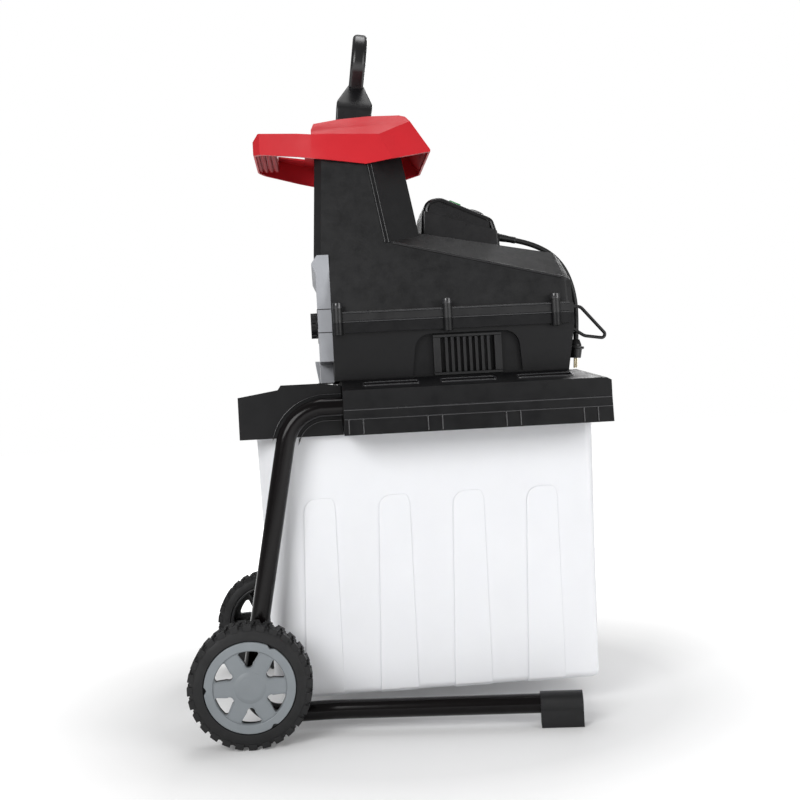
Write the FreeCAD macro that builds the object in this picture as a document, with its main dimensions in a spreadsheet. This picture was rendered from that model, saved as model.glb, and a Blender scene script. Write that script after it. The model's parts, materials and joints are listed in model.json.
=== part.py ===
import FreeCAD, Part
import math
import os
import Sketcher
from FreeCAD import Placement, Rotation, Vector

os.makedirs("parts", exist_ok=True)
doc = FreeCAD.newDocument("garden_shredder")

# ---------------------------------------------------------------------------
# Driving dimensions, in millimetres and degrees.  +X points from the wheels to
# the feet, +Y to the gearbox side, +Z up; z = 0 is the ground, and x = y = 0 is
# the middle of the machine.
# ---------------------------------------------------------------------------
DIMENSIONS = {
    # fits and gaps
    "seat": 0.1,                # gap between two pieces fixed to each other
    "slip": 0.3,                # gap between pieces that move past each other
    "running": 0.05,            # radial clearance of a shaft in its bearing
    # wheels and axle
    "wheel_radius": 80, "wheel_width": 45, "wheel_outer_y": 237, "axle_x": -232,
    "axle_radius": 6, "rim_radius": 59, "rim_lip": 5, "hub_radius": 18,
    "spoke_hole_outer": 46.5, "spoke_hole_inner": 27, "spoke_hole_wide": 11.5,
    "spoke_hole_narrow": 5, "tread_depth": 4, "tread_width": 6, "clip_radius": 11,
    "clip_thick": 2, "cap_thick": 3,
    # bent steel frame
    "tube_radius": 12.7, "tube_wall": 1.5, "tube_y": 176, "foot_y": 225,
    "tube_low_z": 29, "tube_top_z": 431, "low_corner_x": -243, "top_corner_x": -164,
    "low_bend": 38, "top_bend": 56, "splay_x": -130, "splay_bend": 120, "tube_end_x": 190, "tube_socket": 90,
    "foot_front_x": 198, "foot_length": 55, "foot_wall": 2.8, "foot_crease": 17,
    "foot_pad_half": 13,
    # tray between the machine and its box
    "tray_left": -94, "tray_right": 264, "tray_half": 208, "tray_bottom": 393,
    "tray_step": 426, "tray_edge": 452, "tray_top": 466, "tray_deck_half": 150,
    "tray_wall": 3, "tray_hip": 34, "tray_flare": 3, "rib_first_x": -89, "rib_pitch": 104,
    "rib_pair": 19, "rib_thick": 2.2, "rib_proud": 2.4, "rib_top": 411,
    "pocket_first_x": -65, "pocket_pitch": 104, "pocket_length": 74, "pocket_width": 18,
    # cover over the wheel end
    "cover_left": -234, "cover_half": 160, "cover_low_top": 450, "cover_top": 463,
    "cover_wall": 3,
    # collection box and its runners
    "box_left": -215, "box_right": 251, "box_half": 150, "box_top": 402, "box_bottom": 37,
    "box_wall": 2.5, "box_draft": 1.3, "box_flange": 4.5, "box_flange_thick": 4,
    "box_left_round": 55, "box_right_round": 14, "box_edge_round": 11,
    "rail_thick": 2.5, "rail_lip": 4,
    # lower and upper housing
    "shell": 3, "body_left": -102, "body_base_right": 223, "body_right": 233,
    "body_base_half": 140, "body_half": 145, "seam_z": 544.5, "flange_half_height": 14,
    "flange_proud": 7, "flange_left": -94, "flange_right": 226, "boss_radius": 6.5,
    "boss_rise": 10, "boss_first_x": -94, "boss_pitch": 150,
    "throat_top": 787, "throat_half": 97, "throat_left_top": -114, "throat_left": -127,
    "throat_crease_top": -35, "throat_crease_low": 0, "throat_facet_x": 46,
    "throat_facet_y": 37, "throat_strip_x": 10, "throat_strip_y": 12, "notch_top": 641,
    "bonnet_start": -20, "bonnet_end": 223, "shoulder_start_z": 658, "shoulder_end_z": 596,
    "ridge_start_z": 683, "ridge_end_z": 637, "ridge_half": 75, "bonnet_nose_drop": 11,
    # cutting chamber
    "drum_x": -35, "drum_z": 553, "drum_radius": 40, "drum_half": 54, "drum_teeth": 8,
    "drum_root": 31, "shaft_radius": 10, "plate_half_y": 60, "plate_thick": 6,
    "plate_left": -96, "plate_right": 12, "plate_top": 618, "bearing_radius": 17.5,
    "jaw_gap": 1.0, "jaw_thick": 12, "jaw_height": 74, "jaw_travel": 2.5,
    # end plate and latch
    "plate_foot_z": 494, "end_plate_half": 132, "end_plate_wall": 2.5, "latch_half": 45,
    "end_plate_depth": 6, "latch_tongue_thick": 4, "latch_tongue_half": 20,
    # vents
    "grille_left": 35, "grille_right": 130, "grille_top": 525,
    # adjuster
    "screw_radius": 5, "screw_reach": 6, "knob_radius": 19, "knob_length": 10.5,
    # gears and motor
    "last_module": 1.5, "last_pinion_teeth": 12, "last_wheel_teeth": 72,
    "first_module": 1.25, "first_pinion_teeth": 12, "first_wheel_teeth": 76,
    "gear_width": 14, "pinion_width": 16, "motor_x": 80, "motor_z": 540,
    "motor_radius": 48, "motor_length": 118, "motor_wall": 2.5, "rotor_radius": 27,
    "rotor_length": 70, "motor_shaft_radius": 6, "fan_radius": 38, "fan_width": 14,
    "gearbox_y": 70, "gearbox_wall": 4, "gearbox_depth": 46, "pinion_bore": 4,
    # collar, grip and pusher
    "collar_left": -201, "collar_right": 68, "collar_half": 105, "collar_shoulder_x": -118, "collar_left_half": 74,
    "collar_right_half": 82, "collar_wide_x": -24, "collar_bottom": 770,
    "collar_edge_z": 815, "collar_rim_half": 70, "collar_rim_z": 845, "collar_wall": 3,
    "mouth_left": -104, "mouth_right": 4, "mouth_half": 54, "rim_left": -113,
    "grip_hole_left": -187, "grip_hole_right": -128, "grip_hole_half": 60,
    "pusher_tilt": 8, "pusher_x": -52, "pusher_base_z": 863, "pusher_thick": 50,
    "pusher_half": 49, "pusher_low": 120, "pusher_top": 990,
    "handle_half": 52, "handle_thick": 20, "handle_bar": 22, "neck_half": 15,
    # switch box
    "switch_left": 28, "switch_right": 148, "switch_half": 46, "switch_top_left": 731,
    "switch_top_right": 696, "switch_wall": 2.5, "button_half": 9,
    "selector_radius": 11,
    # cord
    "cord_radius": 4, "gland_radius": 7.5, "plug_radius": 10.5, "plug_height": 28,
    "blade_height": 15,
    # cord hook
    "hook_rail": 2.5,
}

sheet = doc.addObject("Spreadsheet::Sheet", "Sizes")
for row, (alias, number) in enumerate(DIMENSIONS.items(), start=1):
    sheet.set(f"A{row}", alias)
    sheet.set(f"B{row}", str(number))
    sheet.setAlias(f"B{row}", alias)
doc.recompute()


class Size:
    """A number together with the spreadsheet formula that gives it."""

    def __init__(self, value, formula):
        self.value = float(value)
        self.formula = formula

    @staticmethod
    def of(other):
        return other if isinstance(other, Size) else Size(other, repr(float(other)))

    def __add__(self, other):
        other = Size.of(other)
        return Size(self.value + other.value, f"({self.formula} + {other.formula})")

    def __sub__(self, other):
        other = Size.of(other)
        return Size(self.value - other.value, f"({self.formula} - {other.formula})")

    def __mul__(self, other):
        other = Size.of(other)
        return Size(self.value * other.value, f"({self.formula} * {other.formula})")

    def __truediv__(self, other):
        other = Size.of(other)
        return Size(self.value / other.value, f"({self.formula} / {other.formula})")

    def __radd__(self, other):
        return Size.of(other) + self

    def __rsub__(self, other):
        return Size.of(other) - self

    def __rmul__(self, other):
        return Size.of(other) * self

    def __rtruediv__(self, other):
        return Size.of(other) / self

    def __neg__(self):
        return Size(-self.value, f"(0 - {self.formula})")

    def __float__(self):
        return self.value


class Sheet:
    """Gives each cell of the spreadsheet as a Size."""

    def __getattr__(self, alias):
        return Size(sheet.get(alias), f"Sizes.{alias}")


S = Sheet()


def root(size):
    """Square root of a Size."""
    return Size(math.sqrt(size.value), f"sqrt({size.formula})")


def sine(degrees):
    return Size(math.sin(math.radians(degrees.value)), f"sin({degrees.formula} * 1deg)")


def cosine(degrees):
    return Size(math.cos(math.radians(degrees.value)), f"cos({degrees.formula} * 1deg)")


def bind(obj, prop, value):
    """Set one property, and let the spreadsheet drive it when the value is a Size."""
    if "." not in prop:
        setattr(obj, prop, float(value))
    if isinstance(value, Size):
        obj.setExpression(prop, value.formula)


def place(obj, x, y, z, rotation=Rotation()):
    """Put an object at a point given in Sizes or numbers."""
    obj.Placement = Placement(Vector(float(x), float(y), float(z)), rotation)
    for axis, value in zip("xyz", (x, y, z)):
        bind(obj, f"Placement.Base.{axis}", value)
    return obj


# Sketch planes: the normal of the XZ plane points to -Y.
PLANE_SIGN = {"XY": 1, "XZ": -1, "YZ": 1}


def origin_feature(body, role):
    return next(f for f in body.Origin.OriginFeatures if f.Role == role)


def sketch_on(body, plane, offset):
    """A sketch on one of the body's origin planes, moved along the plane's axis."""
    sketch = body.newObject("Sketcher::SketchObject", "Sketch")
    sketch.AttachmentSupport = [(origin_feature(body, f"{plane}_Plane"), "")]
    sketch.MapMode = "FlatFace"
    along = Size.of(offset) * PLANE_SIGN[plane]
    sketch.AttachmentOffset = Placement(Vector(0, 0, float(along)), Rotation())
    sketch.setExpression("AttachmentOffset.Base.z", along.formula)
    return sketch


def add_outline(sketch, points):
    """Draw a closed outline of straight lines, each corner bound to its sizes."""
    first = sketch.GeometryCount
    count = len(points)
    corners = [Vector(float(u), float(v), 0) for u, v in points]
    for i in range(count):
        sketch.addGeometry(Part.LineSegment(corners[i], corners[(i + 1) % count]))
    for i in range(count):
        sketch.addConstraint(Sketcher.Constraint("Coincident", first + i, 2, first + (i + 1) % count, 1))
    for i, corner in enumerate(points):
        for kind, value in zip(("DistanceX", "DistanceY"), corner):
            index = sketch.addConstraint(Sketcher.Constraint(kind, -1, 1, first + i, 1, float(value)))
            if isinstance(value, Size):
                sketch.setExpression(f"Constraints[{index}]", value.formula)


def add_circle(sketch, u, v, radius):
    """Draw a circle whose centre and radius are bound to sizes."""
    index = sketch.addGeometry(Part.Circle(Vector(float(u), float(v), 0), Vector(0, 0, 1), float(radius)))
    for kind, value in (("DistanceX", u), ("DistanceY", v)):
        number = sketch.addConstraint(Sketcher.Constraint(kind, -1, 1, index, 3, float(value)))
        if isinstance(value, Size):
            sketch.setExpression(f"Constraints[{number}]", value.formula)
    number = sketch.addConstraint(Sketcher.Constraint("Radius", index, float(radius)))
    if isinstance(radius, Size):
        sketch.setExpression(f"Constraints[{number}]", radius.formula)


def new_body(name):
    return doc.addObject("PartDesign::Body", name)


def pad_between(body, plane, draw, low, high):
    """Pad what draw() sketches from low to high along the plane's axis."""
    start = low if PLANE_SIGN[plane] > 0 else high
    sketch = sketch_on(body, plane, start)
    draw(sketch)
    pad = body.newObject("PartDesign::Pad", "Pad")
    pad.Profile = sketch
    bind(pad, "Length", Size.of(high) - low)
    sketch.Visibility = False
    return pad


def pocket_between(body, plane, draw, low, high):
    """Cut what draw() sketches from low to high along the plane's axis."""
    start = high if PLANE_SIGN[plane] > 0 else low
    sketch = sketch_on(body, plane, start)
    draw(sketch)
    pocket = body.newObject("PartDesign::Pocket", "Pocket")
    pocket.Profile = sketch
    pocket.Type = "Length"
    bind(pocket, "Length", Size.of(high) - low)
    return pocket


def prism(name, plane, points, low, high, rounded=()):
    """A body padded from an outline; rounded lists (radius, corner numbers)."""
    body = new_body(name)
    pad = pad_between(body, plane, lambda sketch: add_outline(sketch, points), low, high)
    feature = pad
    for radius, corners in rounded:
        doc.recompute()
        feature = round_corners(body, feature, plane, [points[i] for i in corners], radius)
    return body


def plane_uv(plane, point):
    return {"XY": (point.x, point.y), "XZ": (point.x, point.z), "YZ": (point.y, point.z)}[plane]


def round_corners(body, feature, plane, corners, radius):
    """Fillet the edges that run along the plane's axis at the given corners."""
    names = []
    for number, edge in enumerate(feature.Shape.Edges, start=1):
        ends = [plane_uv(plane, vertex.Point) for vertex in edge.Vertexes]
        if len(ends) < 2 or math.dist(ends[0], ends[1]) > 1e-6:
            continue
        if any(math.dist(ends[0], (float(u), float(v))) < 1e-6 for u, v in corners):
            names.append(f"Edge{number}")
    fillet = body.newObject("PartDesign::Fillet", "Fillet")
    fillet.Base = (feature, names)
    bind(fillet, "Radius", radius)
    return fillet


def rectangle(u_low, v_low, u_high, v_high):
    return [(u_low, v_low), (u_high, v_low), (u_high, v_high), (u_low, v_high)]


def block(name, x_low, x_high, y_low, y_high, z_low, z_high):
    """A Part::Box between two opposite corners."""
    box = doc.addObject("Part::Box", name)
    bind(box, "Length", Size.of(x_high) - x_low)
    bind(box, "Width", Size.of(y_high) - y_low)
    bind(box, "Height", Size.of(z_high) - z_low)
    return place(box, x_low, y_low, z_low)


ALONG = {"X": Rotation(Vector(0, 1, 0), 90), "Y": Rotation(Vector(1, 0, 0), -90), "Z": Rotation()}


def rod(name, axis, x, y, z, radius, length):
    """A Part::Cylinder that starts at a point and runs along +X, +Y or +Z."""
    cylinder = doc.addObject("Part::Cylinder", name)
    bind(cylinder, "Radius", radius)
    bind(cylinder, "Height", length)
    return place(cylinder, x, y, z, ALONG[axis])


def revolved(name, axis, x, y, z, points):
    """A body turned from an outline of (radius, distance along the axis)."""
    body = new_body(name)
    sketch = sketch_on(body, "XZ", 0)
    add_outline(sketch, points)
    turn = body.newObject("PartDesign::Revolution", "Revolution")
    turn.Profile = sketch
    turn.ReferenceAxis = (sketch, ["V_Axis"])
    turn.Angle = 360
    place(body, x, y, z, ALONG[axis])
    return body


def fuse(name, *items):
    result = doc.addObject("Part::MultiFuse", name)
    result.Shapes = list(items)
    return result


def common(name, *items):
    result = doc.addObject("Part::MultiCommon", name)
    result.Shapes = list(items)
    return result


def cut(name, base, *tools):
    result = doc.addObject("Part::Cut", name)
    result.Base = base
    result.Tool = tools[0] if len(tools) == 1 else fuse(f"{name}_tools", *tools)
    return result


def loft(name, plane, sections):
    """A ruled loft through outlines at offsets along the plane's axis."""
    body = new_body(name)
    sketches = []
    for offset, points in sections:
        sketch = sketch_on(body, plane, offset)
        add_outline(sketch, points)
        sketches.append(sketch)
    feature = body.newObject("PartDesign::AdditiveLoft", "Loft")
    feature.Profile = sketches[0]
    feature.Sections = sketches[1:]
    feature.Ruled = True
    return body


def mirrored(name, item):
    """The mirror image of a piece across the machine's middle plane y = 0."""
    mirror = doc.addObject("Part::Mirroring", name)
    mirror.Source = item
    mirror.Normal = Vector(0, 1, 0)
    return mirror


NODES = {}


def node(name, obj):
    """Name the object as one sub-part of the machine."""
    obj.Label = name
    NODES[name] = obj
    return obj


def group(name, *items):
    """Identical pieces that share one node as separate solids."""
    result = doc.addObject("Part::Compound", name)
    result.Links = list(items)
    return result


def both_sides(stem, obj):
    """Name a piece as the near one and its mirror image as the far one."""
    near = node(f"{stem}_near", obj)
    far = node(f"{stem}_far", mirrored(f"{stem}_mirror", obj))
    return near, far


def symmetric(half):
    """Close an outline given for +Y, as points of (along, y), with its mirror image."""
    return half + [(u, -v) for u, v in reversed(half)]


def symmetric_across(half):
    """Close an outline given for +Y, as points of (y, z), with its mirror image."""
    return half + [(-u, v) for u, v in reversed(half)]


# ---------------------------------------------------------------------------
# Wheels.  Each is built at the near side, with its axis along Y.
# ---------------------------------------------------------------------------
def make_tyre():
    half = S.wheel_width / 2
    inner = S.rim_radius + S.seat
    shoulder = S.wheel_radius - S.tread_depth
    tyre = revolved("Tyre", "Y", S.axle_x, -S.wheel_outer_y, S.wheel_radius, [
        (inner, 2), (inner, S.wheel_width - 2), (inner + 3, S.wheel_width),
        (shoulder, S.wheel_width), (S.wheel_radius, S.wheel_width - S.tread_depth),
        (S.wheel_radius, half + 2), (shoulder + 1, half + 1), (shoulder + 1, half - 1),
        (S.wheel_radius, half - 2), (S.wheel_radius, S.tread_depth),
        (shoulder, 0), (inner + 3, 0)])
    doc.recompute()
    pocket = pocket_between(tyre, "XZ", lambda sketch: add_outline(sketch, rectangle(
        shoulder, -1, S.wheel_radius + 5, half - 4)), -S.tread_width / 2, S.tread_width / 2)
    doc.recompute()
    pattern = tyre.newObject("PartDesign::PolarPattern", "Tread")
    pattern.Originals = [pocket]
    pattern.Axis = (origin_feature(tyre, "Z_Axis"), [""])
    pattern.Angle = 360
    pattern.Occurrences = 24
    tyre.Tip = pattern
    return tyre


def make_rim():
    width = S.wheel_width
    rim = revolved("Rim", "Y", S.axle_x, -S.wheel_outer_y, S.wheel_radius, [
        (S.axle_radius + S.running, 8), (S.hub_radius, 8), (S.hub_radius, 3),
        (S.hub_radius + 4, 3), (S.hub_radius + 6, 6), (S.rim_radius - 9, 4),
        (S.rim_radius - 7, 1), (S.rim_radius, 1), (S.rim_radius, width - 1),
        (S.rim_radius - S.rim_lip, width - 1), (S.rim_radius - S.rim_lip, 12),
        (S.hub_radius, 14), (S.hub_radius, width), (S.axle_radius + S.running, width)])
    doc.recompute()
    pocket = pocket_between(rim, "XY", lambda sketch: add_outline(sketch, [
        (-S.spoke_hole_narrow, S.spoke_hole_inner), (S.spoke_hole_narrow, S.spoke_hole_inner),
        (S.spoke_hole_wide, S.spoke_hole_outer - 8), (S.spoke_hole_wide * 0.75, S.spoke_hole_outer - 1.5),
        (0, S.spoke_hole_outer), (S.spoke_hole_wide * -0.75, S.spoke_hole_outer - 1.5),
        (-S.spoke_hole_wide, S.spoke_hole_outer - 8)]), -1, 20)
    doc.recompute()
    pattern = rim.newObject("PartDesign::PolarPattern", "SpokeHoles")
    pattern.Originals = [pocket]
    pattern.Axis = (origin_feature(rim, "Z_Axis"), [""])
    pattern.Angle = 360
    pattern.Occurrences = 6
    rim.Tip = pattern
    return rim


def make_wheels():
    both_sides("tyre", make_tyre())
    both_sides("rim", make_rim())
    face = -S.wheel_outer_y
    cap = revolved("HubCap", "Y", S.axle_x, face, S.wheel_radius, [
        (0, 0.5), (S.hub_radius - 2, 0.5), (S.hub_radius - S.seat, 2), (S.hub_radius - S.seat, 8 - S.seat),
        (S.hub_radius - 2.5, 8 - S.seat), (S.hub_radius - 2.5, 0.5 + S.cap_thick), (0, 0.5 + S.cap_thick)])
    both_sides("hub_cap", cap)
    clip_y = face + 8 - S.slip - S.clip_thick
    clip = cut("AxleClip", rod("ClipDisc", "Y", S.axle_x, clip_y, S.wheel_radius, S.clip_radius, S.clip_thick),
               rod("ClipBore", "Y", S.axle_x, clip_y - 1, S.wheel_radius, S.axle_radius + S.seat,
                   S.clip_thick + 2))
    node("axle_clips", group("AxleClips", clip, mirrored("AxleClipFar", clip)))
    end = S.wheel_outer_y - 0.5 - S.cap_thick - S.slip * 2
    node("axle", rod("Axle", "Y", S.axle_x, -end, S.wheel_radius, S.axle_radius, end * 2))


# ---------------------------------------------------------------------------
# Bent tube frame and its feet.
# ---------------------------------------------------------------------------
def tube_route():
    """Corners of the near tube's centre line, from the foot to the tray."""
    return [Vector(float(S.tube_end_x), -float(S.foot_y), float(S.tube_low_z)),
            Vector(float(S.splay_x), -float(S.tube_y), float(S.tube_low_z)),
            Vector(float(S.low_corner_x), -float(S.tube_y), float(S.tube_low_z)),
            Vector(float(S.top_corner_x), -float(S.tube_y), float(S.tube_top_z)),
            Vector(float(S.tray_left + S.tube_socket), -float(S.tube_y), float(S.tube_top_z))]


def bent_wire(points, radii):
    """Straight runs joined by tangent arcs of the given radii."""
    edges = []
    start = points[0]
    for before, corner, after, radius in zip(points, points[1:], points[2:], radii):
        back = (before - corner).normalize()
        ahead = (after - corner).normalize()
        half_turn = (math.pi - back.getAngle(ahead)) / 2
        reach = radius * math.tan(half_turn)
        inward = (back + ahead).normalize()
        middle = corner + inward * (radius / math.cos(half_turn) - radius)
        first, last = corner + back * reach, corner + ahead * reach
        edges.append(Part.makeLine(start, first))
        edges.append(Part.Arc(first, middle, last).toShape())
        start = last
    edges.append(Part.makeLine(start, points[-1]))
    return Part.Wire(edges)


def pipe(points, radii, radius):
    """A round bar swept along straight runs and tangent arcs."""
    path = bent_wire(points, radii)
    along = points[1] - points[0]
    section = Part.Wire([Part.makeCircle(radius, points[0], along)])
    return path.makePipeShell([section], True, True)


def make_frame():
    points = tube_route()
    radii = (float(S.splay_bend), float(S.low_bend), float(S.top_bend))
    outer = pipe(points, radii, float(S.tube_radius))
    inner = pipe(points, radii, float(S.tube_radius - S.tube_wall))
    bore = Part.makeCylinder(float(S.axle_radius + S.seat), 4 * float(S.tube_radius),
                             Vector(float(S.axle_x), -float(S.tube_y + S.tube_radius * 2),
                                    float(S.wheel_radius)), Vector(0, 1, 0))
    tube = doc.addObject("Part::Feature", "FrameTube")
    tube.Shape = outer.cut(inner).cut(bore)
    both_sides("frame_tube", tube)
    reach = S.foot_y - S.tube_y
    run = S.tube_end_x - S.splay_x
    slope = math.degrees(math.atan2(float(reach), float(run)))
    foot = new_body("Foot")
    radius = S.tube_radius + S.foot_wall
    low = S.tube_end_x - S.foot_front_x
    pad_between(foot, "YZ", lambda sketch: add_circle(sketch, 0, 0, radius),
                S.foot_front_x - S.tube_end_x - S.foot_length, -low)
    doc.recompute()
    crease = S.foot_crease - S.tube_low_z
    pad_between(foot, "YZ", lambda sketch: add_outline(sketch, [
        (-S.foot_pad_half, -S.tube_low_z), (S.foot_pad_half, -S.tube_low_z),
        (radius - 1.5, crease), (radius - 2, 0), (2 - radius, 0), (1.5 - radius, crease)]),
        S.foot_front_x - S.tube_end_x - S.foot_length, -low)
    doc.recompute()
    pocket_between(foot, "YZ", lambda sketch: add_circle(sketch, 0, 0, S.tube_radius + S.seat),
                   S.foot_front_x - S.tube_end_x - S.foot_length - 1, S.seat)
    place(foot, S.tube_end_x, -S.foot_y, S.tube_low_z, Rotation(Vector(0, 0, 1), -slope))
    both_sides("foot", foot)


# ---------------------------------------------------------------------------
# Tray, wheel-end cover, runners and collection box.
# ---------------------------------------------------------------------------
def tray_outline(inset):
    """Cross-section of the tray across the machine, for y and z."""
    top = S.tray_top - inset
    half = S.tray_half - inset
    return [(-half - S.tray_flare, S.tray_bottom - inset), (half + S.tray_flare, S.tray_bottom - inset),
            (half, S.tray_step), (half, S.tray_edge - inset * 0.6), (S.tray_deck_half, top),
            (-S.tray_deck_half, top), (-half, S.tray_edge - inset * 0.6), (-half, S.tray_step)]


def make_tray():
    outer = prism("TrayOuter", "YZ", tray_outline(0), S.tray_left, S.tray_right)
    inner = prism("TrayInner", "YZ", tray_outline(S.tray_wall), S.tray_left + S.tray_wall,
                  S.tray_right - S.tray_wall)
    hip = prism("TrayHip", "XZ", [
        (S.tray_right - S.tray_hip, S.tray_top + 0.5), (S.tray_right + 1, S.tray_top - 18),
        (S.tray_right + 1, S.tray_top + 5), (S.tray_right - S.tray_hip, S.tray_top + 5)],
        -S.tray_half - 10, S.tray_half + 10)
    hip_inner = prism("TrayHipInner", "XZ", [
        (S.tray_right - S.tray_hip - S.tray_wall, S.tray_top + 0.5 - S.tray_wall),
        (S.tray_right + 1, S.tray_top - 18 - S.tray_wall - 2),
        (S.tray_right + 1, S.tray_top + 5), (S.tray_right - S.tray_hip - S.tray_wall, S.tray_top + 5)],
        -S.tray_half - 10, S.tray_half + 10)
    shell = cut("TrayShell", cut("TrayHipped", outer, hip), cut("TrayHollow", inner, hip_inner))
    wall = S.tray_wall
    pans = []
    tools = [block("BoxPassage", S.tray_right - 20, S.tray_right + 5, -S.box_half - 8, S.box_half + 8,
                   S.tray_bottom - 5, S.box_top + S.slip + 2)]
    tools.append(block("BoxPassageLeft", S.tray_left - 5, S.tray_left + 20, -S.box_half - 8,
                       S.box_half + 8, S.tray_bottom - 5, S.box_top + S.slip + 2))
    for side in (-1, 1):
        tools.append(rod(f"TubeHole{side + 1}", "X", S.tray_left - 5, S.tube_y * side, S.tube_top_z,
                         S.tube_radius + S.seat, 20))
        for number in range(3):
            start = S.pocket_first_x + S.pocket_pitch * number
            middle = (S.tray_half + S.tray_deck_half) * 0.5 * side
            floor = S.tray_edge - 1
            tools.append(block(f"Pocket{side + 1}{number}", start, start + S.pocket_length,
                               middle - S.pocket_width / 2, middle + S.pocket_width / 2,
                               floor, S.tray_top + 2))
            pans.append(block(f"Pan{side + 1}{number}", start - wall, start + S.pocket_length + wall,
                              middle - S.pocket_width / 2 - wall, middle + S.pocket_width / 2 + wall,
                              floor - wall, S.tray_edge + 3))
    tools.append(block("Discharge", S.plate_left + 6, S.plate_right - 6, -S.plate_half_y + 4,
                       S.plate_half_y - 4, S.tray_top - 20, S.tray_top + 5))
    ribs = []
    for side in (-1, 1):
        for number in range(4):
            for pair in (0, 1):
                x = S.rib_first_x + S.rib_pitch * number + S.rib_pair * pair
                wall = S.tray_half * side
                low = wall - 1 if side > 0 else wall - S.rib_proud
                ribs.append(block(f"Rib{side + 1}{number}{pair}", x, x + S.rib_thick,
                                  low, low + S.rib_proud + 1, S.tray_bottom, S.rib_top))
    for side in (-1, 1):
        x, y = S.tray_left + S.tube_socket / 2, S.tube_y * side
        socket = cut(f"Socket{side + 1}",
                     block(f"SocketBlock{side + 1}", S.tray_left + 1, S.tray_left + S.tube_socket + 5,
                           y - S.tube_radius - 4, y + S.tube_radius + 4,
                           S.tube_top_z - S.tube_radius - 4, S.tray_edge),
                     rod(f"SocketBore{side + 1}", "X", S.tray_left - 5, y, S.tube_top_z,
                         S.tube_radius + S.seat, S.tube_socket + 5 + S.seat))
        ribs.append(socket)
    body = fuse("TrayRibbed", cut("TrayOpen", fuse("TrayPanned", shell, *pans), *tools), *ribs)
    node("base_tray", body)


def make_cover():
    def outline(inset):
        return [(S.cover_left + inset, S.tray_bottom - inset), (S.tray_left - S.seat * 3, S.tray_bottom - inset),
                (S.tray_left - S.seat * 3, S.cover_top - 3 - inset), (S.tray_left - 30, S.cover_top + 1 - inset),
                (S.cover_left + 58, S.cover_top + 1 - inset), (S.cover_left + 54, S.cover_top - 5 - inset),
                (S.cover_left + inset, S.cover_low_top - inset)]
    outer = prism("CoverOuter", "XZ", outline(0), -S.cover_half, S.cover_half)
    inner = prism("CoverInner", "XZ", outline(S.cover_wall), S.cover_wall - S.cover_half,
                  S.cover_half - S.cover_wall)
    back = latch_back()
    slot = block("LatchSlot", back - S.latch_tongue_thick - S.slip, back + S.slip,
                 -S.latch_tongue_half - S.slip, S.latch_tongue_half + S.slip, S.tray_bottom, S.tray_top + 5)
    node("wheel_end_cover", cut("WheelEndCover", outer, inner, slot))


def make_runners():
    lip_top = S.box_top - S.box_flange_thick - S.slip
    web_y = S.box_half + S.box_flange + 1.5
    outline = [(-S.box_half - 1.2, lip_top), (-S.box_half - 1.2, lip_top - S.rail_lip),
               (-web_y - S.rail_thick, lip_top - S.rail_lip), (-web_y - S.rail_thick, S.tray_top - S.tray_wall - 3.5),
               (-web_y, S.tray_top - S.tray_wall - 3.2), (-web_y, lip_top)]
    rail = prism("Runner", "YZ", outline, S.tray_left + S.tray_wall + 1, S.tray_right - S.tray_hip)
    node("box_runners", group("BoxRunners", rail, mirrored("RunnerFar", rail)))


def box_form(tag, inset):
    """The box's drafted form with rounded corners, or its hollow when inset."""
    body = new_body(f"Box{tag}")
    mouth = S.box_top - S.box_flange_thick + (1 if inset else 0)
    left = S.box_left + inset
    right = S.box_right - inset
    sketch = sketch_on(body, "XY", mouth)
    add_outline(sketch, rectangle(left, -S.box_half + inset, right, S.box_half - inset))
    pad = body.newObject("PartDesign::Pad", "Walls")
    pad.Profile = sketch
    pad.Reversed = True
    bind(pad, "Length", mouth - S.box_bottom - inset)
    doc.recompute()
    feature = pad
    for radius, side in ((S.box_left_round, left), (S.box_right_round, right)):
        names = [f"Edge{number}" for number, edge in enumerate(feature.Shape.Edges, start=1)
                 if edge.BoundBox.ZLength > float(radius) and abs(edge.CenterOfMass.x - float(side)) < 1]
        fillet = body.newObject("PartDesign::Fillet", "Corners")
        fillet.Base = (feature, names)
        bind(fillet, "Radius", radius - inset)
        doc.recompute()
        feature = fillet

    walls = []
    rims = []
    for number, face in enumerate(feature.Shape.Faces, start=1):
        if face.BoundBox.ZLength > 1:
            walls.append(f"Face{number}")
        elif face.BoundBox.ZMax > float(mouth) - 1:
            rims.append(f"Face{number}")
    draft = body.newObject("PartDesign::Draft", "MouldDraft")
    draft.Base = (feature, walls)
    draft.NeutralPlane = (feature, rims)
    draft.Reversed = True
    bind(draft, "Angle", S.box_draft)
    doc.recompute()

    low = [f"Edge{number}" for number, edge in enumerate(draft.Shape.Edges, start=1)
           if edge.BoundBox.ZMax < float(S.box_bottom + inset) + 1]
    fillet = body.newObject("PartDesign::Fillet", "BottomEdge")
    fillet.Base = (draft, low)
    bind(fillet, "Radius", S.box_edge_round - inset)
    return body


def make_box():
    shell = cut("BoxShell", box_form("Outer", 0), box_form("Inner", S.box_wall))
    rim_low = S.box_top - S.box_flange_thick
    over = S.box_flange
    outer = prism("BoxRimOuter", "XY", rectangle(S.box_left - over, -S.box_half - over, S.box_right + over,
                                                 S.box_half + over), rim_low, S.box_top,
                  [(S.box_left_round + over, (0, 3)), (S.box_right_round + over, (1, 2))])
    under = S.box_wall
    inner = prism("BoxRimInner", "XY", rectangle(S.box_left + under, -S.box_half + under,
                                                 S.box_right - under, S.box_half - under),
                  rim_low - 1, S.box_top + 1,
                  [(S.box_left_round - under, (0, 3)), (S.box_right_round - under, (1, 2))])
    node("collection_box", fuse("BoxWithRim", shell, cut("BoxRim", outer, inner)))


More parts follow.
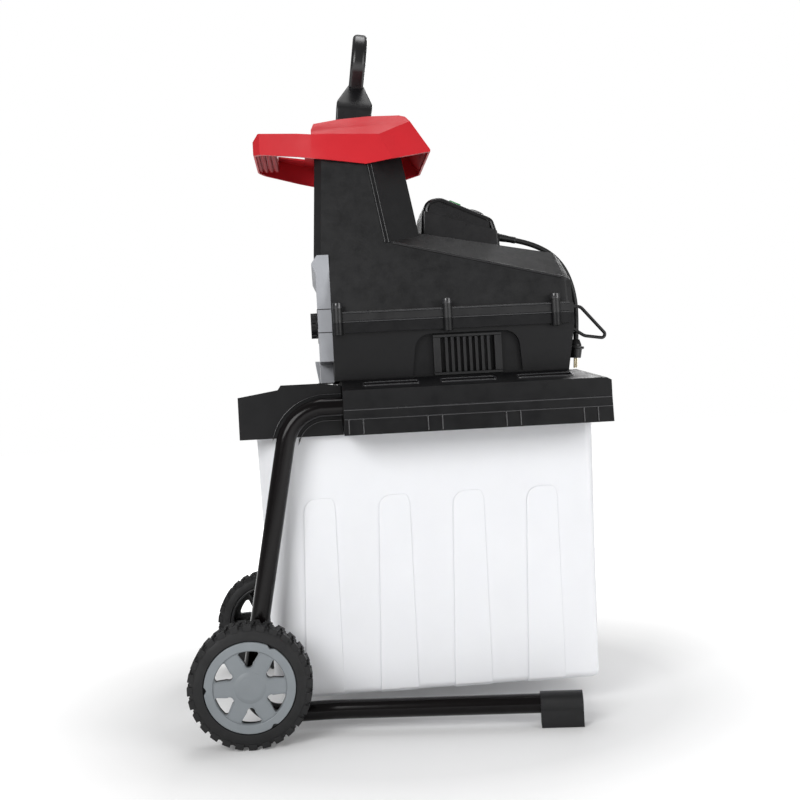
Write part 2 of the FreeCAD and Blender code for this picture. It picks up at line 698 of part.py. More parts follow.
# ---------------------------------------------------------------------------
# Housings.
# ---------------------------------------------------------------------------
def lean_y(z, inset):
    """Half-width of the upper housing's leaning side at a height."""
    start = S.seam_z + S.flange_half_height
    slope = (S.body_half - S.throat_half) / (S.throat_top - start)
    return S.body_half - inset - (z - start) * slope


def throat_plan(left, crease, half, inset):
    return symmetric([(left + inset, half - S.throat_strip_y - inset * 0.4),
                      (left + S.throat_strip_x + inset * 0.4, half - inset),
                      (crease - inset * 0.4, half - inset),
                      (crease + S.throat_facet_x - inset, half - S.throat_facet_y - inset * 0.5)])


def upper_solid(tag, inset):
    """The upper housing's outer form, or its hollow when inset by the wall."""
    flange_top = S.seam_z + S.flange_half_height
    lift = inset * 4
    throat = loft(f"Throat{tag}", "XY", [
        (flange_top, throat_plan(S.throat_left, S.throat_crease_low, S.body_half, inset)),
        (S.throat_top + lift, throat_plan(S.throat_left_top, S.throat_crease_top, S.throat_half, inset))])

    bonnet = loft(f"Bonnet{tag}", "YZ", [
        (S.bonnet_start, section_outline(S.ridge_half, S.ridge_start_z, S.shoulder_start_z, 0, inset)),
        (S.bonnet_end - inset * 0.5, section_outline(S.ridge_half, S.ridge_end_z, S.shoulder_end_z, 0, inset)),
        (S.body_right - inset, section_outline(S.ridge_half - 4, S.ridge_end_z - S.bonnet_nose_drop,
                                               S.shoulder_end_z - 5, 5, inset))])
    skirt_low = S.seam_z + S.seat - lift
    skirt = prism(f"Skirt{tag}", "XY", rectangle(S.body_left + inset, -S.body_half + inset,
                                                 S.body_right - inset, S.body_half - inset),
                  skirt_low, flange_top)
    whole = fuse(f"Upper{tag}", throat, bonnet, skirt)
    notch = block(f"Notch{tag}", S.throat_left - 20, S.body_left + inset, -S.body_half - 10,
                  S.body_half + 10, S.seam_z - 40, S.notch_top + inset)
    return cut(f"UpperNotched{tag}", whole, notch)


def section_outline(ridge_half, ridge_z, shoulder_z, narrow, inset):
    """Cross-section of the bonnet: leaning sides, shoulders and a flat top."""
    flange_top = S.seam_z + S.flange_half_height
    return symmetric_across([(S.body_half - inset - narrow, flange_top),
                             (lean_y(shoulder_z, inset) - narrow, shoulder_z - inset * 0.5),
                             (ridge_half - inset * 0.3, ridge_z - inset)])


def make_upper_housing():
    shell = cut("UpperShell", upper_solid("Outer", 0), upper_solid("Inner", S.shell))
    extras = []
    tools = []
    low = S.seam_z + S.seat
    for side in (-1, 1):
        inner_y = S.body_half * side - side * 1
        outer_y = (S.body_half + S.flange_proud) * side
        extras.append(block(f"UpperFlange{side + 1}", S.flange_left, S.flange_right,
                            min(inner_y, outer_y, key=float), max(inner_y, outer_y, key=float),
                            low, S.seam_z + S.flange_half_height))
        for number in range(3):
            x = S.boss_first_x + S.boss_pitch * number
            extras.append(rod(f"UpperBoss{side + 1}{number}", "Z", x, outer_y, low, S.boss_radius,
                              S.flange_half_height + S.boss_rise))
            tools.append(rod(f"UpperBossHole{side + 1}{number}", "Z", x, outer_y, low - 1, 2.4,
                             S.flange_half_height + S.boss_rise + 2))
    whole = fuse("UpperFused", shell, *extras)
    tools.append(rod("AdjusterHole", "X", S.body_left - 5, 0, S.drum_z, S.screw_radius + 6, 15))
    node("upper_housing", cut("UpperHousing", whole, *tools))


def make_lower_housing():
    def solid(tag, inset):
        base = S.tray_top + S.seat + inset
        return loft(f"Lower{tag}", "XY", [
            (base, rectangle(S.body_left + inset, -S.body_base_half + inset,
                             S.body_base_right - inset, S.body_base_half - inset)),
            (S.seam_z - S.flange_half_height, rectangle(S.body_left + inset, -S.body_half + inset,
                                                        S.body_right - inset, S.body_half - inset)),
            (S.seam_z + inset, rectangle(S.body_left + inset, -S.body_half + inset,
                                         S.body_right - inset, S.body_half - inset))])
    outer = solid("Outer", 0)
    inner = solid("Inner", S.shell)
    extras = []
    tools = []
    low = S.seam_z - S.flange_half_height
    for side in (-1, 1):
        inner_y = S.body_half * side - side * 1
        outer_y = (S.body_half + S.flange_proud) * side
        extras.append(block(f"LowerFlange{side + 1}", S.flange_left, S.flange_right,
                            min(inner_y, outer_y, key=float), max(inner_y, outer_y, key=float),
                            low, S.seam_z))
        for number in range(3):
            x = S.boss_first_x + S.boss_pitch * number
            extras.append(rod(f"LowerBoss{side + 1}{number}", "Z", x, outer_y, low - 3, S.boss_radius,
                              S.flange_half_height + 3))
            tools.append(rod(f"LowerBossHole{side + 1}{number}", "Z", x, outer_y, low, 2.4,
                             S.flange_half_height + 2))
    whole = fuse("LowerFused", cut("LowerShell", outer, inner), *extras)
    tools.append(block("LowerDischarge", S.plate_left + 6, S.plate_right - 6, -S.plate_half_y + 4,
                       S.plate_half_y - 4, S.tray_top - 5, S.tray_top + 15))
    tools.append(rod("AdjusterNotch", "X", S.body_left - 5, 0, S.drum_z, S.screw_radius + 6, 15))
    for side in (-1, 1):
        wall_y = S.body_base_half * side
        tools.append(block(f"GrilleOpening{side + 1}", S.grille_left - S.seat, S.grille_right + S.seat,
                           wall_y - 7, wall_y + 7, S.tray_top + 1 - S.seat, S.grille_top + S.seat))
    node("lower_housing", cut("LowerHousing", whole, *tools))


# ---------------------------------------------------------------------------
# Grey end plate, box latch and housing screws.
# ---------------------------------------------------------------------------
def make_end_plate():
    right = S.body_left - S.seat
    face = S.throat_left + S.end_plate_depth
    top = S.notch_top - S.seat * 3
    outline = [(face, S.plate_foot_z), (face, top - 25), (S.throat_left, top - 12), (face + 3, top),
               (right, top), (right, S.plate_foot_z)]
    half = S.end_plate_half
    outer = prism("EndPlateOuter", "XZ", outline, -half, half, [(4, (2,))])
    wall = S.end_plate_wall
    hollow = block("EndPlateHollow", face + wall, right + 1, wall - half, half - wall,
                   S.plate_foot_z + wall, top - wall)
    tongue = block("EndPlateTongue", face, right, -S.latch_half - 3, S.latch_half + 3,
                   S.tray_top + S.slip, S.plate_foot_z + wall)
    screw_hole = rod("EndPlateBore", "X", face - 10, 0, S.drum_z, S.screw_radius + S.running, 30)
    boss = rod("EndPlateBoss", "X", face + 1, 0, S.drum_z, S.screw_radius + 5, right - face - 1)
    whole = fuse("EndPlateFused", cut("EndPlateShell", outer, hollow), tongue, boss)
    node("end_plate", cut("EndPlate", whole, screw_hole))


def latch_back():
    """The plane at which the latch slides on the end plate's face."""
    return S.throat_left + S.end_plate_depth - S.slip


def make_latch():
    back = latch_back()
    front = S.throat_left
    low = S.tray_top + S.slip * 2
    grip = prism("LatchGrip", "XZ", [
        (back, low), (back, S.plate_foot_z + 4), (front - 1, S.plate_foot_z + 4),
        (front, S.plate_foot_z - 4), (back - 2, low)], -S.latch_half, S.latch_half)
    tongue = block("LatchTongue", back - S.latch_tongue_thick, back, -S.latch_tongue_half,
                   S.latch_tongue_half, S.box_top + 2, low + 1)
    node("box_latch", fuse("BoxLatch", grip, tongue))


def make_housing_screws():
    screws = []
    for side in (-1, 1):
        for number in range(3):
            x = S.boss_first_x + S.boss_pitch * number
            y = (S.body_half + S.flange_proud) * side
            top = S.seam_z + S.flange_half_height + S.boss_rise + S.seat
            shank = S.flange_half_height * 2 + S.boss_rise - 6
            tag = f"{side + 1}{number}"
            screws.append(fuse(f"HousingScrew{tag}",
                               rod(f"ScrewHead{tag}", "Z", x, y, top, 4.4, 2.6),
                               rod(f"ScrewShank{tag}", "Z", x, y, top - shank, 2.0, shank + 1)))
    node("housing_screws", group("HousingScrews", *screws))


# ---------------------------------------------------------------------------
# Hopper collar and pusher.
# ---------------------------------------------------------------------------
def collar_form(tag, inset):
    """The collar's outer form, or the hollow under it when inset by the wall."""
    drop = inset * 3
    plan = prism(f"CollarPlan{tag}", "XY", symmetric([
        (S.collar_left + inset, S.collar_left_half - 14 - inset),
        (S.collar_left + 10 + inset, S.collar_left_half - inset),
        (S.collar_shoulder_x, S.collar_half - 1 - inset),
        (S.collar_wide_x, S.collar_half - inset), (S.collar_right - inset, S.collar_right_half - inset)]),
        S.collar_bottom - 20, S.collar_rim_z + 10)
    side = prism(f"CollarSide{tag}", "XZ", [
        (S.collar_left + inset * 0.4, S.collar_bottom + 27 - inset * 0.5),
        (S.collar_left + 3 + inset, S.collar_bottom + 19 - drop),
        (S.collar_wide_x - 18, S.collar_bottom - drop),
        (S.collar_wide_x + 21, S.collar_bottom + 7 - drop),
        (S.collar_right - 20 - inset * 0.3, S.collar_bottom + 15 - drop),
        (S.collar_right - inset, S.collar_edge_z + 6 - inset),
        (S.collar_right - 49 - inset * 0.5, S.collar_rim_z - 2 - inset),
        (S.rim_left + 100, S.collar_rim_z - inset),
        (S.rim_left + 4 + inset * 0.4, S.collar_rim_z - 10 - inset),
        (S.rim_left - 5, S.collar_edge_z + 10 - inset),
        (S.collar_left + 12 + inset * 0.5, S.collar_edge_z + 10 - inset)],
        -S.collar_half - 10, S.collar_half + 10)
    edge = S.collar_edge_z - inset * 0.5
    across = prism(f"CollarAcross{tag}", "YZ", [
        (-S.collar_half + inset, S.collar_bottom - 30), (S.collar_half - inset, S.collar_bottom - 30),
        (S.collar_half - inset, edge), (S.collar_rim_half - inset * 0.5, S.collar_rim_z + 1 - inset),
        (inset * 0.5 - S.collar_rim_half, S.collar_rim_z + 1 - inset), (inset - S.collar_half, edge)],
        S.collar_left - 10, S.collar_right + 10)
    return common(f"CollarForm{tag}", plan, side, across)


def make_collar():
    shell = cut("CollarShell", collar_form("Outer", 0), collar_form("Inner", S.collar_wall))
    ledge_z = S.pusher_base_z - 25 - S.seat * 3
    funnel = cut("Funnel",
                 block("FunnelOuter", S.mouth_left - 3, S.mouth_right + 3, -S.mouth_half - 11,
                       S.mouth_half + 11, S.throat_top + S.seat, S.collar_rim_z - 9),
                 block("FunnelMouth", S.mouth_left, S.mouth_right, -S.mouth_half, S.mouth_half,
                       S.throat_top - 5, S.collar_rim_z + 5),
                 block("FunnelLedge", S.mouth_left, S.mouth_right, -S.mouth_half - 8, S.mouth_half + 8,
                       ledge_z, S.collar_rim_z + 5))
    opening = block("MouthOpening", S.mouth_left, S.mouth_right, -S.mouth_half - 8, S.mouth_half + 8,
                    ledge_z, S.collar_rim_z + 20)
    through = block("MouthThrough", S.mouth_left, S.mouth_right, -S.mouth_half, S.mouth_half,
                    S.throat_top, S.collar_rim_z + 20)
    skirt_gap = block("GripHole", S.grip_hole_left, S.grip_hole_right, -S.grip_hole_half,
                      S.grip_hole_half, S.collar_bottom - 30, S.collar_rim_z + 20)
    open_shell = cut("CollarOpen", shell, opening, through, skirt_gap)
    hoop_outer = block("HoopOuter", S.grip_hole_left - 3, S.grip_hole_right + 3, -S.grip_hole_half - 3,
                       S.grip_hole_half + 3, S.collar_bottom + 14, S.collar_edge_z + 9)
    hoop = cut("GripHoop", common("GripHoopForm", hoop_outer, collar_form("Hoop", 0)),
               block("HoopInner", S.grip_hole_left, S.grip_hole_right, -S.grip_hole_half,
                     S.grip_hole_half, S.collar_bottom - 30, S.collar_rim_z + 20))
    node("hopper_collar", fuse("HopperCollar", open_shell, funnel, hoop))


def make_pusher():
    lean = Rotation(Vector(0, 1, 0), float(S.pusher_tilt))
    rise = S.pusher_top - S.pusher_base_z
    half = S.handle_half
    thick = S.handle_thick / 2
    body = new_body("PusherHandle")
    pad_between(body, "YZ", lambda sketch: add_outline(sketch, symmetric_across([
        (S.neck_half + 6, 30), (half - 10, 52), (half, 70), (half, rise - 26), (half - 8, rise - 9),
        (half - 22, rise)])), -thick, thick)
    doc.recompute()
    pocket_between(body, "YZ", lambda sketch: add_outline(sketch, symmetric_across([
        (12, 58), (half - S.handle_bar, 74), (half - S.handle_bar, rise - 34),
        (half - S.handle_bar - 10, rise - S.handle_bar)])), -thick - 1, thick + 1)
    shoulder = loft("PusherShoulder", "XY", [
        (0, rectangle(-S.pusher_thick / 2, -S.pusher_half, S.pusher_thick / 2, S.pusher_half)),
        (14, rectangle(4 - S.pusher_thick / 2, 12 - S.pusher_half, S.pusher_thick / 2 - 4,
                       S.pusher_half - 12)),
        (42, rectangle(-thick, -S.neck_half - 6, thick, S.neck_half + 6))])
    paddle = block("PusherPaddle", -S.pusher_thick / 2, S.pusher_thick / 2, -S.pusher_half,
                   S.pusher_half, -S.pusher_low, 0)
    upright = fuse("PusherUpright", body, shoulder, paddle)
    place(upright, S.pusher_x, 0, S.pusher_base_z, lean)
    flange_z = S.pusher_base_z - 25
    flange = block("PusherFlange", S.pusher_x - 30, S.pusher_x + 22, -S.mouth_half - 6,
                   S.mouth_half + 6, flange_z, flange_z + 4)
    node("pusher", fuse("Pusher", upright, flange))


# ---------------------------------------------------------------------------
# Switch box with its controls, lying along the bonnet.
# ---------------------------------------------------------------------------
def bonnet_z(x):
    """Height of the bonnet's flat top at a place along the machine."""
    slope = (S.ridge_start_z - S.ridge_end_z) / (S.bonnet_end - S.bonnet_start)
    return S.ridge_start_z - (x - S.bonnet_start) * slope


def make_switch_box():
    left, right = S.switch_left, S.switch_right
    half = S.switch_half
    lid_left, lid_right = S.switch_top_left, S.switch_top_right
    part_left, part_right = lid_left - 20, lid_right - 18
    base = prism("SwitchBaseOuter", "XZ", [
        (left + 6, bonnet_z(left + 6) + S.seat), (right + 7, bonnet_z(right + 7) + S.seat),
        (right, part_right), (left + 12, part_left)], -half, half)
    wall = S.switch_wall
    hollow = prism("SwitchBaseHollow", "XZ", [
        (left + 14, bonnet_z(left) + 2), (right - wall, bonnet_z(right) + 4), (right - wall, part_right + 10),
        (left + 14, part_left + 10)], wall - half, half - wall)
    node("switch_box_base", cut("SwitchBase", base, hollow, gland_hole("Base")))
    lid = prism("SwitchLidOuter", "XZ", [
        (left + 12, part_left + S.seat), (right, part_right + S.seat), (right - 4, lid_right),
        (left + 38, lid_left), (left + 23, lid_left - 4), (left + 14, part_left + 10)], -half, half,
        [(6, (2,))])
    lid_hollow = prism("SwitchLidHollow", "XZ", [
        (left + 20, part_left - 2), (right - 10, part_right - 4), (right - 10, lid_right - 4),
        (left + 36, lid_left - 3), (left + 26, lid_left - 6)], wall - half, half - wall)
    slope = math.degrees(math.atan2(float(lid_left - lid_right), float(right - left - 42)))
    tilt = Rotation(Vector(0, 1, 0), slope)
    holes = []
    places = button_places()
    for name, (x, z, y, reach) in places.items():
        holes.append(key_form(f"Hole_{name}", name, reach + S.slip, -12, 12))
        place(holes[-1], x, y, z, tilt)
    node("switch_box_lid", cut("SwitchLid", lid, lid_hollow, gland_hole("Lid"), *holes))
    for name, (x, z, y, reach) in places.items():
        key = key_form(f"Key_{name}", name, reach, -7.5, 4.5)
        node(name, place(key, x, y, z, tilt))


def key_form(tag, name, reach, low, high):
    """A control standing on the lid: a round selector, or a square key with rounded corners."""
    if name == "direction_selector":
        body = new_body(tag)
        pad_between(body, "XY", lambda sketch: add_circle(sketch, 0, 0, reach), low, high)
        return body
    return prism(tag, "XY", rectangle(-reach, -reach, reach, reach), low, high, [(2, (0, 1, 2, 3))])


def button_places():
    """Middle of each control on the sloping lid, x, z and y, and its half-width."""
    left, right = S.switch_left + 38, S.switch_right - 4
    slope = (S.switch_top_left - S.switch_top_right) / (right - left)

    def on_lid(share):
        x = left + (right - left) * share
        return x, S.switch_top_left - (x - left) * slope
    x1, z1 = on_lid(0.3)
    x2, z2 = on_lid(0.72)
    y = S.button_half + 9
    return {"start_button": (x1, z1, -y, S.button_half),
            "stop_button": (x1, z1, y, S.button_half),
            "direction_selector": (x2, z2, -y, S.selector_radius),
            "reset_button": (x2, z2, y, S.button_half / 2)}


# ---------------------------------------------------------------------------
# Cutting chamber, adjuster, gears and motor, all with their shafts along Y.
# ---------------------------------------------------------------------------
def ring(name, axis, x, y, z, outer, inner, length):
    return cut(name, rod(f"{name}_outer", axis, x, y, z, outer, length),
               rod(f"{name}_bore", axis, x, y - 1, z, inner, length + 2))


def make_chamber():
    x, z = S.drum_x, S.drum_z
    bore_radius = S.bearing_radius + S.seat
    bearings = []
    for side, stem in ((-1, "near"), (1, "far")):
        low = S.plate_half_y * side if side > 0 else -S.plate_half_y - S.plate_thick
        plate = block(f"ChamberPlate_{stem}", S.plate_left, S.plate_right, low, low + S.plate_thick,
                      S.tray_top + S.shell + S.seat * 3, S.plate_top)
        bore = rod(f"ChamberBore_{stem}", "Y", x, low - 1, z, bore_radius, S.plate_thick + 2)
        screw = rod(f"ChamberScrewHole_{stem}", "Y", x, low - 1, S.plate_top - 5, 2.5, S.plate_thick + 2)
        node(f"chamber_plate_{stem}", cut(f"ChamberSide_{stem}", plate, bore, screw))
        bearings.append(ring(f"CutterBearing_{stem}", "Y", x, low, z, S.bearing_radius,
                             S.shaft_radius + S.running, S.plate_thick))
    node("cutter_bearings", group("CutterBearings", *bearings))
    cross = S.plate_half_y - S.seat
    back = block("ChamberBack", S.plate_right - 6, S.plate_right, -cross, cross,
                 S.tray_top + S.shell + S.seat * 3, S.plate_top)
    node("chamber_back", back)
    teeth = int(float(S.drum_teeth))
    drum = new_body("CutterDrum")
    outline = []
    for number in range(teeth):
        angle = 360.0 * number / teeth
        for turn, radius in ((0, S.drum_radius), (4, S.drum_radius), (7, S.drum_root), (38, S.drum_root)):
            heading = Size.of(angle + turn)
            outline.append((radius * cosine(heading), radius * sine(heading)))
    pad_between(drum, "XZ", lambda sketch: add_outline(sketch, outline), -S.drum_half, S.drum_half)
    doc.recompute()
    pocket_between(drum, "XZ", lambda sketch: add_circle(sketch, 0, 0, S.shaft_radius + S.seat),
                   -S.drum_half - 1, S.drum_half + 1)
    place(drum, x, 0, z)
    node("cutter_drum", drum)
    start = -S.plate_half_y - S.plate_thick - 6
    node("cutter_shaft", rod("CutterShaft", "Y", x, start, z, S.shaft_radius,
                             S.gearbox_y + S.gearbox_depth - S.gearbox_wall - S.slip - start))
    jaw_right = x - S.drum_radius - S.jaw_gap
    jaw_low = z - S.jaw_height / 2
    side = S.plate_half_y - S.slip
    jaw = block("Jaw", jaw_right - S.jaw_thick, jaw_right, -side, side, jaw_low, jaw_low + S.jaw_height)
    nut = rod("JawNut", "X", jaw_right - S.jaw_thick - 1, 0, z, S.screw_radius + S.running,
              S.screw_reach + S.jaw_travel + 2)
    node("pressure_plate", cut("PressurePlate", jaw, nut))


def make_adjuster():
    face = S.throat_left + S.end_plate_depth
    tip = S.drum_x - S.drum_radius - S.jaw_gap - S.jaw_thick + S.screw_reach
    z = S.drum_z
    node("adjuster_screw", rod("AdjusterScrew", "X", face - 6, 0, z, S.screw_radius, tip - face + 6))
    knob = new_body("AdjusterKnob")
    pad_between(knob, "YZ", lambda sketch: add_circle(sketch, 0, 0, S.knob_radius),
                -S.knob_length, -S.slip)
    doc.recompute()
    notch = pocket_between(knob, "YZ", lambda sketch: add_circle(sketch, S.knob_radius + 3, 0, 5),
                           -S.knob_length - 1, -S.slip - 3)
    doc.recompute()
    pattern = knob.newObject("PartDesign::PolarPattern", "Grips")
    pattern.Originals = [notch]
    pattern.Axis = (origin_feature(knob, "X_Axis"), [""])
    pattern.Angle = 360
    pattern.Occurrences = 8
    knob.Tip = pattern
    doc.recompute()
    pocket_between(knob, "YZ", lambda sketch: add_circle(sketch, 0, 0, S.screw_radius + S.seat),
                   -6 - S.seat, 0)
    place(knob, face, 0, z)
    node("adjuster_knob", knob)


def idler_place():
    """Middle of the idler shaft, where both gear pairs are at their centre distance."""
    last = S.last_module * (S.last_wheel_teeth + S.last_pinion_teeth) / 2
    first = S.first_module * (S.first_wheel_teeth + S.first_pinion_teeth) / 2
    dx, dz = S.motor_x - S.drum_x, S.motor_z - S.drum_z
    span = root(dx * dx + dz * dz)
    along = (span * span + last * last - first * first) / (span * 2)
    across = root(last * last - along * along)
    return (S.drum_x + (dx * along - dz * across) / span,
            S.drum_z + (dz * along + dx * across) / span)


def gear_blank(name, x, y, z, module, teeth, width, bore):
    """A gear as a plain disc just under its pitch circle."""
    return ring(name, "Y", x, y, z, module * teeth / 2 - 0.4, bore, width)


def make_gears():
    idler_x, idler_z = idler_place()
    y_last = S.gearbox_y + S.gearbox_wall + 3
    y_first = y_last + S.gear_width + 3
    bore = S.shaft_radius + S.seat
    node("output_gear", gear_blank("OutputGear", S.drum_x, y_last, S.drum_z, S.last_module,
                                   S.last_wheel_teeth, S.gear_width, bore))
    shaft = S.motor_shaft_radius
    pinion = rod("IdlerPinion", "Y", idler_x, y_last - 1, idler_z,
                 S.last_module * S.last_pinion_teeth / 2 - 0.4, S.pinion_width)
    node("idler_gear", gear_blank("IdlerGear", idler_x, y_first, idler_z, S.first_module,
                                  S.first_wheel_teeth, S.gear_width, shaft + S.seat))
    start = S.gearbox_y + S.slip
    node("idler_shaft", fuse("IdlerPinionShaft", pinion, rod("IdlerShaft", "Y", idler_x, start, idler_z, shaft,
                                                             S.gearbox_depth - S.slip * 2)))
    node("motor_pinion", gear_blank("MotorPinion", S.motor_x, y_first - 1, S.motor_z, S.first_module,
                                    S.first_pinion_teeth, S.pinion_width, S.pinion_bore + S.seat))
    make_gearbox(idler_x, idler_z)


def make_gearbox(idler_x, idler_z):
    wheel_out = S.last_module * (S.last_wheel_teeth / 2 + 1) + 3
    idler_out = S.first_module * (S.first_wheel_teeth / 2 + 1) + 3
    wall = S.gearbox_wall
    y = S.gearbox_y
    depth = S.gearbox_depth
    pinion_out = S.first_module * S.first_pinion_teeth / 2 + 8

    def lobes(tag, grow, low, length):
        return fuse(f"Lobes{tag}",
                    rod(f"LobeA{tag}", "Y", S.drum_x, low, S.drum_z, wheel_out + grow, length),
                    rod(f"LobeB{tag}", "Y", idler_x, low, idler_z, idler_out + grow, length),
                    rod(f"LobeC{tag}", "Y", S.motor_x, low, S.motor_z, pinion_out + grow, length))
    outer = lobes("Outer", wall, y, depth - wall)
    inner = lobes("Inner", 0, y + wall, depth)
    bores = [rod("CaseBoreDrum", "Y", S.drum_x, y - 5, S.drum_z, S.shaft_radius + S.running, 20),
             rod("CaseBoreIdler", "Y", idler_x, y - 5, idler_z, S.motor_shaft_radius + S.running, 20),
             rod("CaseBoreMotor", "Y", S.motor_x, y - 5, S.motor_z, S.motor_shaft_radius + S.running, 20)]
    node("gearbox_case", cut("GearboxCase", outer, inner, *bores))
    cover_y = y + depth - wall + S.seat
    cover = cut("GearboxCover", lobes("Cover", wall, cover_y, wall),
                rod("CoverBoreDrum", "Y", S.drum_x, cover_y - 5, S.drum_z, S.shaft_radius + S.running, 20),
                rod("CoverBoreIdler", "Y", idler_x, cover_y - 5, idler_z,
                    S.motor_shaft_radius + S.running, 20))
    node("gearbox_cover", cover)


def make_motor():
    x, z = S.motor_x, S.motor_z
    back = S.gearbox_y - S.slip
    front = back - S.motor_length
    wall = S.motor_wall
    can = ring("MotorCan", "Y", x, front + 6, z, S.motor_radius, S.motor_radius - wall, S.motor_length - 6)
    plate = ring("MotorFace", "Y", x, back - wall, z, S.motor_radius, S.motor_shaft_radius + S.running, wall)
    node("motor_can", fuse("MotorHousing", can, plate))
    node("motor_end_cap", cut("MotorEndCap",
                              rod("EndCapDisc", "Y", x, front, z, S.motor_radius, 6 - S.seat),
                              rod("EndCapBore", "Y", x, front - 1, z, S.motor_shaft_radius + S.running, 10)))
    core = back - 12 - S.rotor_length
    node("stator", ring("Stator", "Y", x, core, z, S.motor_radius - wall - S.seat,
                        S.rotor_radius + 0.5, S.rotor_length))
    rotor = rod("RotorCore", "Y", x, core, z, S.rotor_radius, S.rotor_length)
    shaft_start = front - S.fan_width - 5
    shaft = rod("RotorShaft", "Y", x, shaft_start, z, S.motor_shaft_radius,
                S.gearbox_y + S.gearbox_wall + 3 - shaft_start)
    nose = rod("RotorNose", "Y", x, shaft_start + 5, z, S.pinion_bore,
               S.gearbox_y + S.gearbox_depth - S.gearbox_wall - 1 - shaft_start - 5)
    node("rotor", fuse("Rotor", rotor, shaft, nose))
    hub = ring("FanHub", "Y", x, front - S.fan_width - 2, z, S.motor_shaft_radius + 6,
               S.motor_shaft_radius + S.seat, S.fan_width)
    blades = [hub]
    for number in range(6):
        blade = doc.addObject("Part::Box", f"FanBlade{number}")
        bind(blade, "Length", S.fan_radius - S.motor_shaft_radius - 4)
        blade.Width = float(S.fan_width)
        blade.Height = 2
        blade.setExpression("Width", S.fan_width.formula)
        turn = Rotation(Vector(0, 1, 0), 60 * number)
        offset = turn.multVec(Vector(float(S.motor_shaft_radius) + 4, 0, -1))
        place(blade, x + offset.x, front - S.fan_width - 2, z + offset.z, turn)
        blades.append(blade)
    node("motor_fan", fuse("MotorFan", *blades))
    saddle = cut("MotorSaddle",
                 block("SaddleBlock", x - 40, x + 40, front + 20, back - 10,
                       S.tray_top + S.shell + S.seat * 3, z - 20),
                 rod("SaddleSeat", "Y", x, front - 5, z, S.motor_radius + S.seat, S.motor_length + 10))
    node("motor_cradle", saddle)
    node("capacitor", rod("Capacitor", "Y", x + S.motor_radius + 35, front + 20,
                          S.tray_top + S.shell + S.seat * 3 + 20, 20, 70))


def make_grilles():
    left, right = S.grille_left, S.grille_right
    y = -S.body_base_half - 1.5
    frame = block("GrilleFrame", left, right, y - 2, y + 2.5, S.tray_top + 1, S.grille_top)
    slots = []
    pitch = (right - left - 20) / 9
    for number in range(9):
        start = left + 10 + pitch * number + pitch / 4
        slots.append(block(f"GrilleSlot{number}", start, start + pitch / 2, y - 5, y + 5,
                           S.tray_top + 5, S.grille_top - 5))
    both_sides("vent_grille", cut("VentGrille", frame, *slots))


# ---------------------------------------------------------------------------
# Power cord, plug and the hook that stores it.
# ---------------------------------------------------------------------------
CORD_POINTS = [(156, 0, 674), (185, 0, 668), (212, 0, 659.5), (236, 0, 646), (254, 0, 626),
               (265, 0, 600), (270, 0, 571), (270, 0, 542), (268, 0, 514)]


def gland_placement():
    """The gland sits at the cord's start and points along its first run."""
    start, after = Vector(*CORD_POINTS[0]), Vector(*CORD_POINTS[1])
    return Placement(start, Rotation(Vector(0, 0, 1), after - start))


def gland_hole(tag):
    """Clearance for the gland in a wall of the switch box."""
    hole = revolved(f"GlandHole{tag}", "Z", 0, 0, 0, [
        (0, -14), (S.gland_radius + S.seat, -14), (S.gland_radius + S.seat, 3), (0, 3)])
    hole.Placement = gland_placement()
    return hole


def bend_radii(points):
    """Largest even arc for each corner: 0.45 of its shorter run over the half turn's tangent."""
    radii = []
    for before, corner, after in zip(points, points[1:], points[2:]):
        back, ahead = before - corner, after - corner
        half_turn = (math.pi - back.getAngle(ahead)) / 2
        radii.append(0.45 * min(back.Length, ahead.Length) / math.tan(half_turn))
    return radii


def make_cord():
    points = [Vector(*point) for point in CORD_POINTS]
    radii = bend_radii(points)
    radius = float(S.cord_radius)
    cord = doc.addObject("Part::Feature", "PowerCord")
    cord.Shape = pipe(points, radii, radius)
    length = bent_wire(points, radii).Length
    expected = math.pi * radius * radius * length
    print("cord radii", [round(r, 1) for r in radii], "length", round(length, 1),
          "volume ratio", round(cord.Shape.Volume / expected, 4))
    node("power_cord", cord)
    gland = revolved("CordGland", "Z", 0, 0, 0, [
        (0, -12), (S.gland_radius, -12), (S.gland_radius, -6), (S.cord_radius + 1.5, -S.seat),
        (0, -S.seat)])
    gland.Placement = gland_placement()
    node("cord_gland", gland)
    hanging = Placement(points[-1], Rotation(Vector(0, 0, -1), points[-1] - points[-2]))
    plug = revolved("PlugBody", "Z", 0, 0, 0, [
        (0, -S.seat), (S.cord_radius + 1.5, -S.seat), (S.plug_radius - 2, -8), (S.plug_radius - 2, -10),
        (S.plug_radius + 2, -11), (S.plug_radius + 2, -14), (S.plug_radius - 1, -15),
        (S.plug_radius - 2.5, -S.plug_height), (0, -S.plug_height)])
    plug.Placement = hanging
    node("plug_body", plug)
    low = -S.plug_height - S.seat
    blades = group("PlugBlades", *[
        block(f"Blade{side + 1}", -0.8, 0.8, 6.35 * side - 3.2, 6.35 * side + 3.2, low - S.blade_height, low)
        for side in (-1, 1)])
    blades.Placement = hanging
    node("plug_blades", blades)


def make_hook():
    """Wire-form cord hook at the feet end: a loop standing out from a foot."""
    base = S.body_right + S.seat
    foot = block("HookFoot", base, base + 5, -26, -10, 540, 572)
    points = [Vector(float(base) + 4, -18, 565), Vector(float(base) + 40, -18, 562),
              Vector(float(base) + 82.6, -18, 512), Vector(float(base) + 44, -18, 518),
              Vector(float(base) + 4, -18, 545)]
    loop = doc.addObject("Part::Feature", "HookLoop")
    loop.Shape = pipe(points, [10, 5, 14], float(S.hook_rail))
    node("cord_hook", fuse("CordHook", foot, loop))


